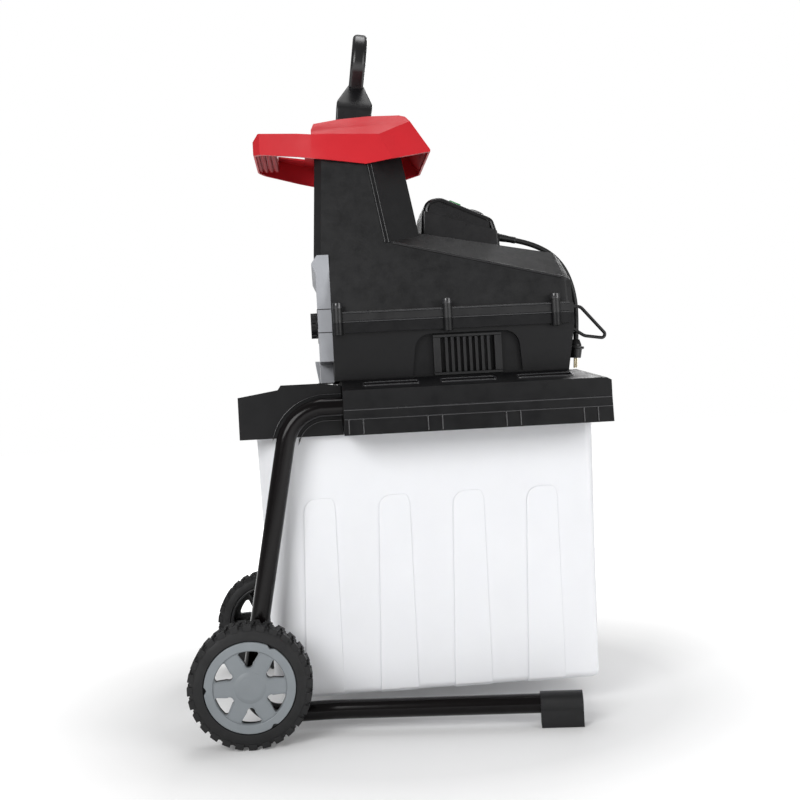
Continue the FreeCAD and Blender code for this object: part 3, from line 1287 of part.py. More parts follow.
doc.recompute()
make_wheels()
make_frame()
make_tray()
make_cover()
make_runners()
make_box()
make_upper_housing()
make_lower_housing()
make_end_plate()
make_latch()
make_housing_screws()
make_collar()
make_pusher()
make_switch_box()
make_chamber()
make_adjuster()
make_gears()
make_motor()
make_grilles()
make_cord()
make_hook()
doc.recompute()

# ---------------------------------------------------------------------------
# Check every object, then write the sub-parts.
# ---------------------------------------------------------------------------
bad = [obj.Name for obj in doc.Objects if "Invalid" in obj.State or "Error" in obj.State]
for name, obj in NODES.items():
    if obj.Shape.isNull() or not obj.Shape.isValid() or not obj.Shape.Solids:
        bad.append(name)
if bad:
    raise RuntimeError(f"failed objects: {bad}")
for name, obj in NODES.items():
    obj.Shape.exportStep(f"parts/{name}.step")
    print(name, len(obj.Shape.Solids), round(obj.Shape.Volume), obj.Shape.BoundBox)
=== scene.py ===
import json
import math

import bmesh
import bpy
from mathutils import Matrix, Vector
from mathutils.bvhtree import BVHTree


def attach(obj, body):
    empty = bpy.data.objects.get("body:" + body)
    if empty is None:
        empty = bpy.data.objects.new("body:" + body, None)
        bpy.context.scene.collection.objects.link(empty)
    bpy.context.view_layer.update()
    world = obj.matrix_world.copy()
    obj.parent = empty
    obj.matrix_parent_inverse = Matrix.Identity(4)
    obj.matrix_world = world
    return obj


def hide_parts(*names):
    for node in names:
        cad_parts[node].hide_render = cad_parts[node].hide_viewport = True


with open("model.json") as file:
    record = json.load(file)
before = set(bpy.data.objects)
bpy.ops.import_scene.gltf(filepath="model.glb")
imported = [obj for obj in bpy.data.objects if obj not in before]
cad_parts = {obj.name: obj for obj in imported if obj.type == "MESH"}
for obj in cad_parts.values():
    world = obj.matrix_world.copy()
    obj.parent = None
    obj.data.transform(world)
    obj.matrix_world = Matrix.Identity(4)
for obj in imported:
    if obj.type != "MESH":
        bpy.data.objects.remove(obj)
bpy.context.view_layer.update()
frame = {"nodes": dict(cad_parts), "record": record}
nodes = frame["nodes"]
scene = bpy.context.scene


# --- Camera, at the height of the tray's shoulder and turned a little to the right.
CAMERA_PLACE = (-0.122552, -1.639836, 0.435815)
CAMERA_YAW, CAMERA_PITCH, CAMERA_ROLL = 0.07193, 0.000169, 0.05287
CAMERA_LENS, SENSOR_WIDTH = 49.27, 36


def make_camera():
    level = Vector((math.cos(CAMERA_YAW), -math.sin(CAMERA_YAW), 0))
    forward = Vector((math.sin(CAMERA_YAW) * math.cos(CAMERA_PITCH),
                      math.cos(CAMERA_YAW) * math.cos(CAMERA_PITCH), math.sin(CAMERA_PITCH)))
    above = level.cross(forward)
    right = level * math.cos(CAMERA_ROLL) - above * math.sin(CAMERA_ROLL)
    up = level * math.sin(CAMERA_ROLL) + above * math.cos(CAMERA_ROLL)
    data = bpy.data.cameras.new("camera")
    data.sensor_width = SENSOR_WIDTH
    data.lens = CAMERA_LENS
    data.clip_end = 50
    camera = bpy.data.objects.new("camera", data)
    turn = Matrix((right, up, -forward)).transposed().to_4x4()
    camera.matrix_world = Matrix.Translation(CAMERA_PLACE) @ turn
    scene.collection.objects.link(camera)
    scene.camera = camera


make_camera()


# --- Materials.  Each has its own grain, colour variation and roughness.
MATERIALS = {}


class Nodes:
    """A new material, listed under its name, with short calls for its node tree."""

    def __init__(self, name):
        material = bpy.data.materials.new(name)
        material.use_nodes = True
        MATERIALS[name] = material
        self.tree = material.node_tree
        self.shader = self.tree.nodes["Principled BSDF"]
        self.place = self.add("ShaderNodeTexCoord").outputs["Object"]

    def add(self, kind, **values):
        item = self.tree.nodes.new(kind)
        for key, value in values.items():
            if hasattr(item, key):
                setattr(item, key, value)
            else:
                item.inputs[key.replace("_", " ")].default_value = value
        return item

    def link(self, output, socket):
        self.tree.links.new(output, socket)

    def noise(self, scale, detail=3.0, roughness=0.55):
        item = self.add("ShaderNodeTexNoise", Scale=scale, Detail=detail, Roughness=roughness)
        self.link(self.place, item.inputs["Vector"])
        return item.outputs["Fac"]

    def ramp(self, source, low, high, at=(0.3, 0.7)):
        item = self.add("ShaderNodeValToRGB")
        self.link(source, item.inputs["Fac"])
        for stop, position, value in zip(item.color_ramp.elements, at, (low, high)):
            stop.position = position
            stop.color = (*value, 1) if hasattr(value, "__len__") else (value, value, value, 1)
        return item.outputs["Color"]

    def bump(self, height, strength, distance):
        item = self.add("ShaderNodeBump", Strength=strength, Distance=distance)
        self.link(height, item.inputs["Height"])
        self.link(item.outputs["Normal"], self.shader.inputs["Normal"])
        return item


def shade(colour, factor):
    return tuple(min(1, channel * factor) for channel in colour)


def plastic(name, colour, rough, grain=900.0, grain_depth=0.00006, mottle=0.12, scuff=0.08, specular=0.5):
    """Moulded plastic: fine spark-eroded grain, faint mottling and handling marks."""
    n = Nodes(name)
    clouds = n.noise(9.0, 4.0)
    tones = n.ramp(clouds, shade(colour, 1 - mottle), shade(colour, 1 + mottle))
    n.link(tones, n.shader.inputs["Base Color"])
    wear = n.noise(45.0, 6.0, 0.7)
    n.link(n.ramp(wear, rough - scuff, rough + scuff, (0.35, 0.65)), n.shader.inputs["Roughness"])
    n.bump(n.noise(grain, 2.0), 0.35, grain_depth)
    n.shader.inputs["Specular IOR Level"].default_value = specular


def metal(name, colour, rough, scale=(40.0, 900.0, 40.0)):
    """Metal with fine machining lines and uneven polish."""
    n = Nodes(name)
    mapping = n.add("ShaderNodeMapping")
    mapping.inputs["Scale"].default_value = scale
    n.link(n.place, mapping.inputs["Vector"])
    lines = n.add("ShaderNodeTexNoise", Scale=1.0, Detail=4.0)
    n.link(mapping.outputs["Vector"], lines.inputs["Vector"])
    tones = n.ramp(lines.outputs["Fac"], shade(colour, 0.88), shade(colour, 1.1))
    n.link(tones, n.shader.inputs["Base Color"])
    n.link(n.ramp(n.noise(60.0, 5.0), rough - 0.08, rough + 0.1), n.shader.inputs["Roughness"])
    n.bump(lines.outputs["Fac"], 0.15, 0.00005)
    n.shader.inputs["Metallic"].default_value = 1.0


def gloss_paint(name, colour, rough):
    """Sprayed enamel with slight orange peel."""
    n = Nodes(name)
    n.link(n.ramp(n.noise(14.0), shade(colour, 0.85), shade(colour, 1.2)), n.shader.inputs["Base Color"])
    n.link(n.ramp(n.noise(70.0, 5.0, 0.7), rough - 0.03, rough + 0.05), n.shader.inputs["Roughness"])
    n.bump(n.noise(420.0, 1.0), 0.06, 0.00003)
    n.shader.inputs["Specular IOR Level"].default_value = 0.14
    n.shader.inputs["Coat Weight"].default_value = 0.1
    n.shader.inputs["Coat Roughness"].default_value = 0.1


def translucent_plastic(name, colour):
    """Natural polyethylene: milky, soft-edged and faintly uneven in thickness."""
    n = Nodes(name)
    tones = n.ramp(n.noise(5.0, 3.0), shade(colour, 0.965), shade(colour, 1.02))
    n.link(tones, n.shader.inputs["Base Color"])
    n.link(n.ramp(n.noise(30.0, 5.0), 0.32, 0.45), n.shader.inputs["Roughness"])
    n.bump(n.noise(160.0, 3.0), 0.12, 0.0002)
    n.shader.inputs["Subsurface Weight"].default_value = 0.25
    n.shader.inputs["Subsurface Radius"].default_value = (0.02, 0.02, 0.022)
    n.shader.inputs["Subsurface Scale"].default_value = 0.3


COARSE = {"grain": 950.0, "grain_depth": 0.0001, "mottle": 0.35}
SMOOTH = {"grain": 950.0, "grain_depth": 0.00002, "mottle": 0.2, "scuff": 0.04}
SATIN = {"grain": 800.0, "grain_depth": 0.00004}
RED = {"grain": 700.0, "grain_depth": 0.00004, "mottle": 0.05}
KEY = {"grain": 700.0, "grain_depth": 0.00003}

plastic("tyre_rubber", (0.009, 0.009, 0.0095), 0.6, 500.0, 0.0001, mottle=0.25, scuff=0.1, specular=0.35)
plastic("rim_plastic", (0.205, 0.225, 0.24), 0.45, **SATIN)
gloss_paint("tube_paint", (0.0026, 0.0018, 0.002), 0.2)
plastic("black_plastic", (0.0044, 0.0044, 0.005), 0.44, specular=0.42, **COARSE)
# A darker copy of the black plastic, with a little less gloss, for the tray, wheel-end cover and lower
# housing: the darker colour is painted shade for parts low under the body.
plastic("black_plastic_shaded", (0.0028, 0.0028, 0.0034), 0.42, specular=0.24, **COARSE)
plastic("black_gloss", (0.0055, 0.0052, 0.006), 0.3, 700.0, 0.00002, mottle=0.2, scuff=0.04)
# A lighter, glossier copy of the black plastic for the moulded beads, rings and rims: the lighter colour is a
# painted highlight along those edges, and the gloss catches the lamps.
plastic("black_edge_highlight", (0.016, 0.016, 0.018), 0.24, specular=0.7, **SMOOTH)
plastic("grey_plastic", (0.36, 0.37, 0.395), 0.4, **SATIN)
plastic("red_plastic", (0.56, 0.02, 0.028), 0.42, scuff=0.04, specular=0.14, **RED)
# A darker copy of the collar's red for the grip ribs: painted shade for ribs that sit under the wing.
plastic("red_rib_shade", (0.36, 0.012, 0.018), 0.55, scuff=0.0, specular=0.08, **RED)
translucent_plastic("box_plastic", (0.885, 0.895, 0.93))
metal("bright_steel", (0.6, 0.6, 0.61), 0.3)
metal("dark_steel", (0.2, 0.2, 0.21), 0.42)
metal("cast_alloy", (0.5, 0.51, 0.52), 0.48, (120.0, 120.0, 120.0))
metal("copper_wire", (0.5, 0.23, 0.1), 0.35, (60.0, 60.0, 900.0))
plastic("green_key", (0.02, 0.25, 0.06), 0.35, **KEY)
plastic("red_key", (0.55, 0.015, 0.012), 0.35, **KEY)
plastic("cord_rubber", (0.006, 0.006, 0.006), 0.45, 1200.0, 0.00004, 0.2, scuff=0.06, specular=0.4)
metal("blade_brass", (0.66, 0.58, 0.4), 0.28)

# The tray and wheel-end cover take the darker black, which paints the shade low under the body.
OWN_LOOK = {"base_tray": "black_plastic_shaded", "wheel_end_cover": "black_plastic_shaded", "housing_screws": "dark_steel"}


# --- Meshes, edges and pieces.
EDGE_WIDTH, EDGE_DEGREES, SMOOTH_DEGREES, WELD_REACH = 0.0008, 28, 32, 0.00001
EDGE_WIDTHS = {
    "collection_box": 0.0012, "base_tray": 0.0016, "wheel_end_cover": 0.0022, "upper_housing": 0.0025,
    "end_plate": 0.0015, "foot_near": 0.0015, "foot_far": 0.0015, "frame_tube_near": 0, "frame_tube_far": 0,
    "power_cord": 0,
}


def add_bevel(item, width, degrees, segments=2):
    """Rounded edges wherever two faces meet at more than an angle."""
    edges = item.modifiers.new("edges", "BEVEL")
    edges.width = width
    edges.segments = segments
    edges.limit_method = "ANGLE"
    edges.angle_limit = math.radians(degrees)


def smooth_by_angle(item, degrees):
    """Smooth shading with crisp edges above an angle."""
    for face in item.data.polygons:
        face.use_smooth = True
    item.data.set_sharp_from_angle(angle=math.radians(degrees))
    normals = item.modifiers.new("normals", "WEIGHTED_NORMAL")
    normals.keep_sharp = True


def finish_piece(item, bevel=0.0, degrees=SMOOTH_DEGREES):
    if bevel:
        add_bevel(item, bevel, 30)
    smooth_by_angle(item, degrees)
    return item


def dress_cad_nodes():
    """Give every CAD node its material, and soften its moulded or machined edges."""
    slots = {row["node"]: row["material_slot"] for row in frame["record"]["subparts"]}
    for name, item in nodes.items():
        item.data.materials.clear()
        item.data.materials.append(MATERIALS[OWN_LOOK.get(name, slots[name])])
        weld = item.modifiers.new("weld", "WELD")
        weld.merge_threshold = WELD_REACH
        edge = EDGE_WIDTHS.get(name, EDGE_WIDTH)
        if edge:
            add_bevel(item, edge, EDGE_DEGREES)
        smooth_by_angle(item, SMOOTH_DEGREES)


def evaluated_mesh(item):
    """The mesh of an object as its modifiers or its curve make it."""
    bpy.context.view_layer.update()
    graph = bpy.context.evaluated_depsgraph_get()
    return bpy.data.meshes.new_from_object(item.evaluated_get(graph))


def linked(name, data):
    item = bpy.data.objects.new(name, data)
    scene.collection.objects.link(item)
    return item


def mesh_from(form, name, outward=True):
    """The mesh of a finished form, which is then freed."""
    if outward:
        bmesh.ops.recalc_face_normals(form, faces=form.faces)
    mesh = bpy.data.meshes.new(name)
    form.to_mesh(mesh)
    form.free()
    return mesh


def skin(form, rings):
    """Faces between rings of equally many points, with both ends capped."""
    for low, high in zip(rings, rings[1:]):
        for k in range(len(low)):
            after = (k + 1) % len(low)
            form.faces.new((low[k], low[after], high[after], high[k]))
    form.faces.new(rings[0][::-1])
    form.faces.new(rings[-1])


def cad_mesh(node):
    """A copy of a CAD node's mesh, without its material."""
    mesh = nodes[node].data.copy()
    mesh.materials.clear()
    return mesh


dress_cad_nodes()


def new_piece(name, mesh, body, material):
    """A finished mesh as a piece that rides on a body."""
    item = linked(name, mesh)
    mesh.materials.append(MATERIALS[material])
    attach(item, body)
    return item


# --- Power cord: the route's points, in metres, as in the CAD model.
CORD_ROUTE = [(0.156, 0, 0.674), (0.185, 0, 0.668), (0.212, 0, 0.6595), (0.236, 0, 0.646),
              (0.254, 0, 0.626), (0.265, 0, 0.600), (0.270, 0, 0.571), (0.270, 0, 0.542),
              (0.268, 0, 0.514)]
CORD_RADIUS = 0.004


def route_curve(name, points):
    """A smooth open curve with the route's points as its control points."""
    data = bpy.data.curves.new(name, "CURVE")
    data.dimensions = "3D"
    data.resolution_u = 16
    spline = data.splines.new("NURBS")
    spline.points.add(len(points) - 1)
    for target, point in zip(spline.points, points):
        target.co = (*point, 1)
    spline.order_u = 3
    spline.use_endpoint_u = True
    return linked(name, data)


def points_along(curve):
    """Points read from a curve that has no bevel yet."""
    mesh = evaluated_mesh(curve)
    found = [vertex.co.copy() for vertex in mesh.vertices]
    bpy.data.meshes.remove(mesh)
    return found


def sweep(name, path, radii, sides=20):
    """A round tube along a path, with a radius at each point and closed ends."""
    form = bmesh.new()
    rings = []
    for i, (point, radius) in enumerate(zip(path, radii)):
        ahead = (path[min(i + 1, len(path) - 1)] - path[max(i - 1, 0)]).normalized()
        side = Vector((0, 1, 0))
        across = ahead.cross(side).normalized()
        rings.append([form.verts.new(point + (side * math.cos(turn) + across * math.sin(turn)) * radius)
                      for turn in (2 * math.pi * k / sides for k in range(sides))])
    skin(form, rings)
    for face in form.faces:
        face.smooth = len(face.verts) == 4
    return mesh_from(form, name)


RELIEF_LENGTH, RELIEF_ROOT, RELIEF_TIP = 0.030, 0.0066, 0.0048
RELIEF_RIB_PITCH, RELIEF_RIB_DEPTH = 0.003, 0.0006


def make_cord():
    cord = route_curve("cord", CORD_ROUTE)
    path = points_along(cord)
    cord.data.bevel_depth = CORD_RADIUS
    cord.data.bevel_resolution = 6
    cord.data.use_fill_caps = True
    cord.data.materials.append(MATERIALS["cord_rubber"])
    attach(cord, "machine")
    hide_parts("power_cord")

    relief_path, radii, done = [path[0]], [RELIEF_ROOT], 0.0
    for before, after in zip(path, path[1:]):
        done += (after - before).length
        if done > RELIEF_LENGTH:
            break
        relief_path.append(after)
        groove = RELIEF_RIB_DEPTH * (0.5 + 0.5 * math.cos(done / RELIEF_RIB_PITCH * 2 * math.pi))
        radii.append(RELIEF_ROOT + (RELIEF_TIP - RELIEF_ROOT) * done / RELIEF_LENGTH - groove)
    relief = new_piece("strain_relief", sweep("strain_relief", relief_path, radii), "machine", "cord_rubber")


make_cord()


# --- Moulded lines: beads and strips that lie on the CAD surfaces.
SIDES = (-1, 1)


def curve_mesh(name, paths, radius, resolution=2, closed=False):
    """A mesh of round beads along straight-sided paths."""
    data = bpy.data.curves.new(name, "CURVE")
    data.dimensions = "3D"
    data.bevel_depth = radius
    data.bevel_resolution = resolution
    data.use_fill_caps = not closed
    for path in paths:
        spline = data.splines.new("POLY")
        spline.points.add(len(path) - 1)
        for target, point in zip(spline.points, path):
            target.co = (*point, 1)
        spline.use_cyclic_u = closed
    return mesh_of(name, data)


def mesh_of(name, curve_data):
    """The mesh that a curve makes; the curve is then dropped."""
    item = linked(name, curve_data)
    mesh = evaluated_mesh(item)
    bpy.data.objects.remove(item)
    bpy.data.curves.remove(curve_data)
    mesh.name = name
    return mesh


def add_beads(name, paths, radius, body, material, closed=False):
    mesh = curve_mesh(name, paths, radius, 2, closed)
    for face in mesh.polygons:
        face.use_smooth = True
    return new_piece(name, mesh, body, material)


def surface_tree(node):
    """A search tree over a CAD node's surface."""
    mesh = nodes[node].data
    return BVHTree.FromPolygons([v.co[:] for v in mesh.vertices], [p.vertices[:] for p in mesh.polygons])


def on_side(tree, x, z, side, lift):
    """The outermost surface point at a place seen from one side, raised by lift."""
    hit, normal, _, _ = tree.ray_cast(Vector((x, side * 0.4, z)), Vector((0, -side, 0)))
    if hit is None:
        return None
    return hit + normal * lift


def turned(point, angle):
    """A flat point turned about the origin."""
    x, y = point
    return Vector((x * math.cos(angle) - y * math.sin(angle), x * math.sin(angle) + y * math.cos(angle)))


def fillet(start, corner, end, radius, offset, steps=14):
    """Start, an arc round the corner and end, shifted sideways by offset to the left of travel."""
    start, corner, end = Vector(start), Vector(corner), Vector(end)
    back, ahead = (start - corner).normalized(), (end - corner).normalized()
    half = back.angle(ahead) / 2
    centre = corner + (back + ahead).normalized() * (radius / math.sin(half))
    reach = radius / math.tan(half)
    first, last = corner + back * reach, corner + ahead * reach
    arm = first - centre
    turn = arm.angle_signed(last - centre)
    points = []
    for i in range(steps + 1):
        points.append(centre + turned(arm, -turn * i / steps) * ((radius + offset) / radius))
    left_start = Vector((back.y, -back.x)) * offset
    left_end = Vector((-ahead.y, ahead.x)) * offset
    return [start + left_start] + points + [end + left_end]


# --- Wheels: a black barrel with a web and ribs, a grey cover with six holes, and a tyre with lugs.
AXLE_X, AXLE_Z = -0.232, 0.080
WHEEL_FACE_Y = 0.237
WHEEL_WIDTH = 0.045
WHEEL_RADIUS = 0.080
RIM_RADIUS = 0.0585
HOLE_TOP, HOLE_LOW = 0.0465, 0.0255
HOLE_WIDE, HOLE_NARROW = 0.0130, 0.0052
RING_INSIDE, WEB_RADIUS, LIP_RADIUS, NOTCH_RADIUS = 0.0470, 0.0548, 0.0009, 0.0032
RIB_NEAR, RIB_FAR, RIB_HALF = 0.015, 0.055, 0.0014
NOTCH_ANGLES = (60, 180, 300)


def circle(radius, steps=96):
    return [(radius * math.cos(2 * math.pi * i / steps), radius * math.sin(2 * math.pi * i / steps))
            for i in range(steps)]


def notched_circle(radius, notch, steps=144):
    """A circle with half-round bites at three places."""
    points = []
    for i in range(steps):
        turn = 360 * i / steps
        apart = min(abs((turn - a + 180) % 360 - 180) for a in NOTCH_ANGLES)
        bite = math.radians(apart) * radius
        depth = math.sqrt(max(0, notch * notch - bite * bite))
        points.append(((radius - depth) * math.cos(math.radians(turn)),
                       (radius - depth) * math.sin(math.radians(turn))))
    return points


def spoke_hole(turn, grow=0.0):
    """A hole between two spokes: wide and rounded outside, narrow and rounded inside."""
    outline = []
    wide, narrow = HOLE_WIDE + grow, HOLE_NARROW + grow
    top, low = HOLE_TOP + grow, HOLE_LOW - grow
    round_top, round_low = 0.004, narrow
    for i in range(9):
        share = i / 8
        angle = math.pi / 2 * share
        outline.append((wide - round_top + round_top * math.cos(angle),
                        math.sqrt(max(0, top * top - (wide - round_top) ** 2)) - round_top
                        + round_top * math.sin(angle)))
    arc = math.asin((wide - round_top) / top)
    outline += [(top * math.sin(arc * k), top * math.cos(arc * k)) for k in (0.6, 0.2, -0.2, -0.6)]
    outline += [(-x, y) for x, y in outline[8::-1]]
    for i in range(9):
        angle = math.pi + math.pi * i / 8
        outline.append((round_low * math.cos(angle), low + round_low + round_low * math.sin(angle)))
    return [turned(point, turn) for point in outline]


def flat_plate(name, outlines, thick, bevel):
    """A plate with holes and rounded edges, lying in the local XY plane about z = 0."""
    data = bpy.data.curves.new(name, "CURVE")
    data.dimensions = "2D"
    data.fill_mode = "BOTH"
    data.extrude = thick / 2 - bevel
    data.bevel_depth = bevel
    data.bevel_resolution = 2
    data.offset = -bevel
    for outline in outlines:
        spline = data.splines.new("POLY")
        spline.points.add(len(outline) - 1)
        for target, (x, y) in zip(spline.points, outline):
            target.co = (x, y, 0, 1)
        spline.use_cyclic_u = True
    return mesh_of(name, data)


def revolve(name, profile, steps=96):
    """A ring about the local Z axis from a closed profile of (radius, z)."""
    form = bmesh.new()
    rings = []
    for i in range(steps):
        turn = 2 * math.pi * i / steps
        rings.append([form.verts.new((r * math.cos(turn), r * math.sin(turn), z)) for r, z in profile])
    count = len(profile)
    for i in range(steps):
        here, there = rings[i], rings[(i + 1) % steps]
        for k in range(count):
            form.faces.new((here[k], there[k], there[(k + 1) % count], here[(k + 1) % count]))
    bmesh.ops.remove_doubles(form, verts=form.verts, dist=0.000001)
    return mesh_from(form, name)


def add_block(form, corners):
    """A six-sided block from eight corners: four below and four above, in the same order."""
    verts = [form.verts.new(corner) for corner in corners]
    for face in ((3, 2, 1, 0), (4, 5, 6, 7), (0, 1, 5, 4), (1, 2, 6, 5), (2, 3, 7, 6), (3, 0, 4, 7)):
        form.faces.new([verts[i] for i in face])


def tread_block(form, turn, half_turn, low, high, z_first, z_last, taper=0.88):
    """A lug of the tread, between two depths across the wheel."""
    corners = []
    middle = (z_first + z_last) / 2
    for radius, share in ((low, 1.0), (high, taper)):
        for side, z in ((-1, z_first), (1, z_first), (1, z_last), (-1, z_last)):
            angle = turn + side * half_turn * share
            deep = middle + (z - middle) * (share if radius == high else 1.0)
            corners.append((radius * math.cos(angle), radius * math.sin(angle), deep))
    add_block(form, corners)


def wheel_place(mesh, side):
    """Stand a wheel piece, made about Z with its outer face at 0, in its place on the axle."""
    turn = Matrix.Rotation(math.radians(90), 4, "X")
    if side > 0:
        turn = Matrix.Scale(-1, 4, Vector((0, 1, 0))) @ turn
    place = Matrix.Translation((AXLE_X, side * WHEEL_FACE_Y, AXLE_Z))
    mesh.transform(place @ turn)
    if side > 0:
        mesh.flip_normals()


LUGS = 28
LUG_HALF_TURN = math.radians(4.3)
SMALL_LUG_HALF_TURN = math.radians(2.3)
TREAD_BASE, LUG_ROOT, LUG_TOP = 0.0768, 0.0725, WHEEL_RADIUS - 0.0001


def make_tyre_mesh(name):
    deep = -WHEEL_WIDTH
    profile = [(0.0592, -0.003), (0.0598, -0.0012), (0.0640, -0.0008), (0.0700, -0.0016), (0.0740, -0.0034),
               (TREAD_BASE, -0.0070), (TREAD_BASE, deep + 0.0070), (0.0740, deep + 0.0034),
               (0.0700, deep + 0.0016), (0.0640, deep + 0.0008), (0.0598, deep + 0.0012),
               (0.0592, deep + 0.003)]
    form = bmesh.new()
    form.from_mesh(revolve("carcass", profile, 112))
    pitch = 2 * math.pi / LUGS
    for i in range(LUGS):
        turn = i * pitch
        shoulders = ((-0.0022, -0.0125, turn), (deep + 0.0125, deep + 0.0022, turn + pitch / 2))
        for first, last, start in shoulders:
            tread_block(form, start, LUG_HALF_TURN, LUG_ROOT, LUG_TOP, first, last, 0.9)
        for first, last, start in ((-0.0145, -0.0215, turn + pitch / 2), (-0.0235, -0.0305, turn)):
            for half in (-1, 1):
                tread_block(form, start + half * pitch / 4, SMALL_LUG_HALF_TURN, TREAD_BASE - 0.001, LUG_TOP,
                            first, last)
    return mesh_from(form, name, outward=False)


def make_rib_mesh(name):
    """Six ribs between the wheel's bore and its barrel."""
    form = bmesh.new()
    for k in range(6):
        turn = math.radians(60 * k)
        out = Vector((math.cos(turn), math.sin(turn)))
        across = Vector((-math.sin(turn), math.cos(turn))) * RIB_HALF
        corners = []
        for depth in (0.004 - WHEEL_WIDTH, -0.012):
            for reach, way in ((RIB_NEAR, -1), (RIB_FAR, -1), (RIB_FAR, 1), (RIB_NEAR, 1)):
                point = out * reach + across * way
                corners.append((point.x, point.y, depth))
        add_block(form, corners)
    return mesh_from(form, name)


def make_wheel(side, tag):
    body = f"wheel_{tag}"
    holes = [spoke_hole(math.radians(60 * k)) for k in range(6)]

    def piece(name, mesh, material, bevel=0.0):
        wheel_place(mesh, side)
        return finish_piece(new_piece(f"{name}_{tag}", mesh, body, material), bevel)

    def plate(outlines, thick, bevel, middle):
        mesh = flat_plate("plate", outlines, thick, bevel)
        mesh.transform(Matrix.Translation((0, 0, middle)))
        return mesh

    tyre = piece("tyre_tread", make_tyre_mesh(f"tyre_tread_{tag}"), "tyre_rubber", 0.0004)
    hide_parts(f"tyre_{tag}")
    ring_outlines = [notched_circle(RIM_RADIUS, NOTCH_RADIUS), circle(RING_INSIDE)]
    piece("rim_ring", plate(ring_outlines, 0.006, 0.0012, -0.0036), "rim_plastic")
    piece("rim_spokes", plate([circle(RING_INSIDE + 0.002)] + holes, 0.007, 0.0014, -0.0062), "rim_plastic")
    hub_profile = [(0.0, -0.0008), (0.0135, -0.0008), (0.0165, -0.0012), (0.0195, -0.0024), (0.0215, -0.0034),
                   (0.0215, -0.008), (0.0, -0.008)]
    hub = piece("rim_hub", revolve("hub", hub_profile, 64), "rim_plastic")
    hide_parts(f"hub_cap_{tag}")
    lip_paths = [[(x, y, -0.0028) for x, y in spoke_hole(math.radians(60 * k), LIP_RADIUS)] for k in range(6)]
    piece("rim_lips", curve_mesh("lips", lip_paths, LIP_RADIUS, 2, True), "rim_plastic")
    barrel_profile = [(0.0590, -0.004), (0.0590, 0.003 - WHEEL_WIDTH), (0.0570, 0.002 - WHEEL_WIDTH),
                      (0.0540, 0.003 - WHEEL_WIDTH), (0.0540, -0.030), (0.0545, -0.006)]
    barrel = piece("rim_barrel", revolve("barrel", barrel_profile), "black_plastic", 0.0005)
    piece("rim_web", plate([circle(WEB_RADIUS)] + holes, 0.004, 0.0008, -0.0125), "black_plastic")
    bore_profile = [(0.0064, -0.010), (0.0170, -0.010), (0.0160, 0.001 - WHEEL_WIDTH),
                    (0.0064, 0.001 - WHEEL_WIDTH)]
    piece("rim_bore", revolve("bore", bore_profile, 48), "black_plastic", 0.0005)
    piece("rim_ribs", make_rib_mesh("ribs"), "black_plastic", 0.0004)
    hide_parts(f"rim_{tag}")


make_wheel(-1, "near")
make_wheel(1, "far")


# --- Lines moulded in the housings, tray and cover.
FLANGE_HALF, FLANGE_TOP, SEAM_Z, FLANGE_LEFT, FLANGE_RIGHT = 0.152, 0.5585, 0.5445, -0.094, 0.226
TRAY_HALF, TRAY_LEFT, TRAY_RIGHT = 0.208, -0.0935, 0.2635
TRAY_STEP_Z, TRAY_BAND_Z, TRAY_FOOT_Z, TRAY_PITCH = 0.4262, 0.4140, 0.3945, 0.104
DECK_HALF, DECK_TOP, DECK_DROP = 0.150, 0.466, 0.014
POCKET_LEFT, POCKET_LONG, POCKET_NEAR, POCKET_FAR, POCKET_ROUND = -0.065, 0.074, 0.170, 0.188, 0.003
COVER_FACE, RIB_START, RIB_PAIR, BOSS_PITCH, BOSS_Z = 0.1601, 0.0056, 0.019, 0.150, 0.5680
THROAT_FOOT, THROAT_TOP, CREASE_LEAN = 0.5585, 0.787, 0.035
BONNET_LEFT, BONNET_LONG, SHOULDER_Z, SHOULDER_DROP = -0.020, 0.243, 0.658, 0.062
STAND_LOW, STAND_TOP, STAND_BEND, TUBE_CLEAR = (-0.243, 0.029), (-0.164, 0.431), 0.056, 0.0175
BEAD, FINE_BEAD, BROAD_BEAD, ON_SURFACE = 0.0014, 0.0009, 0.0018, 0.0002


def make_moulded_lines():
    """Edges of the flange, the tray's step and lower band, and the cover's recess for each tube."""
    def level(half, left, right, z):
        return [[(left, side * half, z), (right, side * half, z)] for side in SIDES]

    # These beads take the lighter black: a painted highlight along each moulded edge, besides their gloss.
    flange = [path for z in (SEAM_Z + 0.0012, FLANGE_TOP - 0.0004)
              for path in level(FLANGE_HALF, FLANGE_LEFT, FLANGE_RIGHT, z)]
    add_beads("flange_beads", flange, BEAD, "machine", "black_edge_highlight")
    step = level(TRAY_HALF, TRAY_LEFT, TRAY_RIGHT, TRAY_STEP_Z)
    add_beads("tray_beads", step, BEAD, "machine", "black_edge_highlight")
    band = level(TRAY_HALF + 0.0012, TRAY_LEFT, TRAY_RIGHT, TRAY_BAND_Z)
    add_beads("tray_lower_beads", band, 0.0011, "machine", "black_edge_highlight")
    share = (TRAY_FOOT_Z + 0.0005 - STAND_LOW[1]) / (STAND_TOP[1] - STAND_LOW[1])
    start = (STAND_LOW[0] + (STAND_TOP[0] - STAND_LOW[0]) * share, TRAY_FOOT_Z + 0.0005)
    paths = []
    for side in SIDES:
        for offset in (TUBE_CLEAR, -TUBE_CLEAR):
            flat = fillet(start, STAND_TOP, (TRAY_LEFT - 0.002, STAND_TOP[1]), STAND_BEND, offset)
            paths.append([(x, side * COVER_FACE, z) for x, z in flat])
    add_beads("cover_beads", paths, FINE_BEAD, "machine", "black_edge_highlight")


make_moulded_lines()


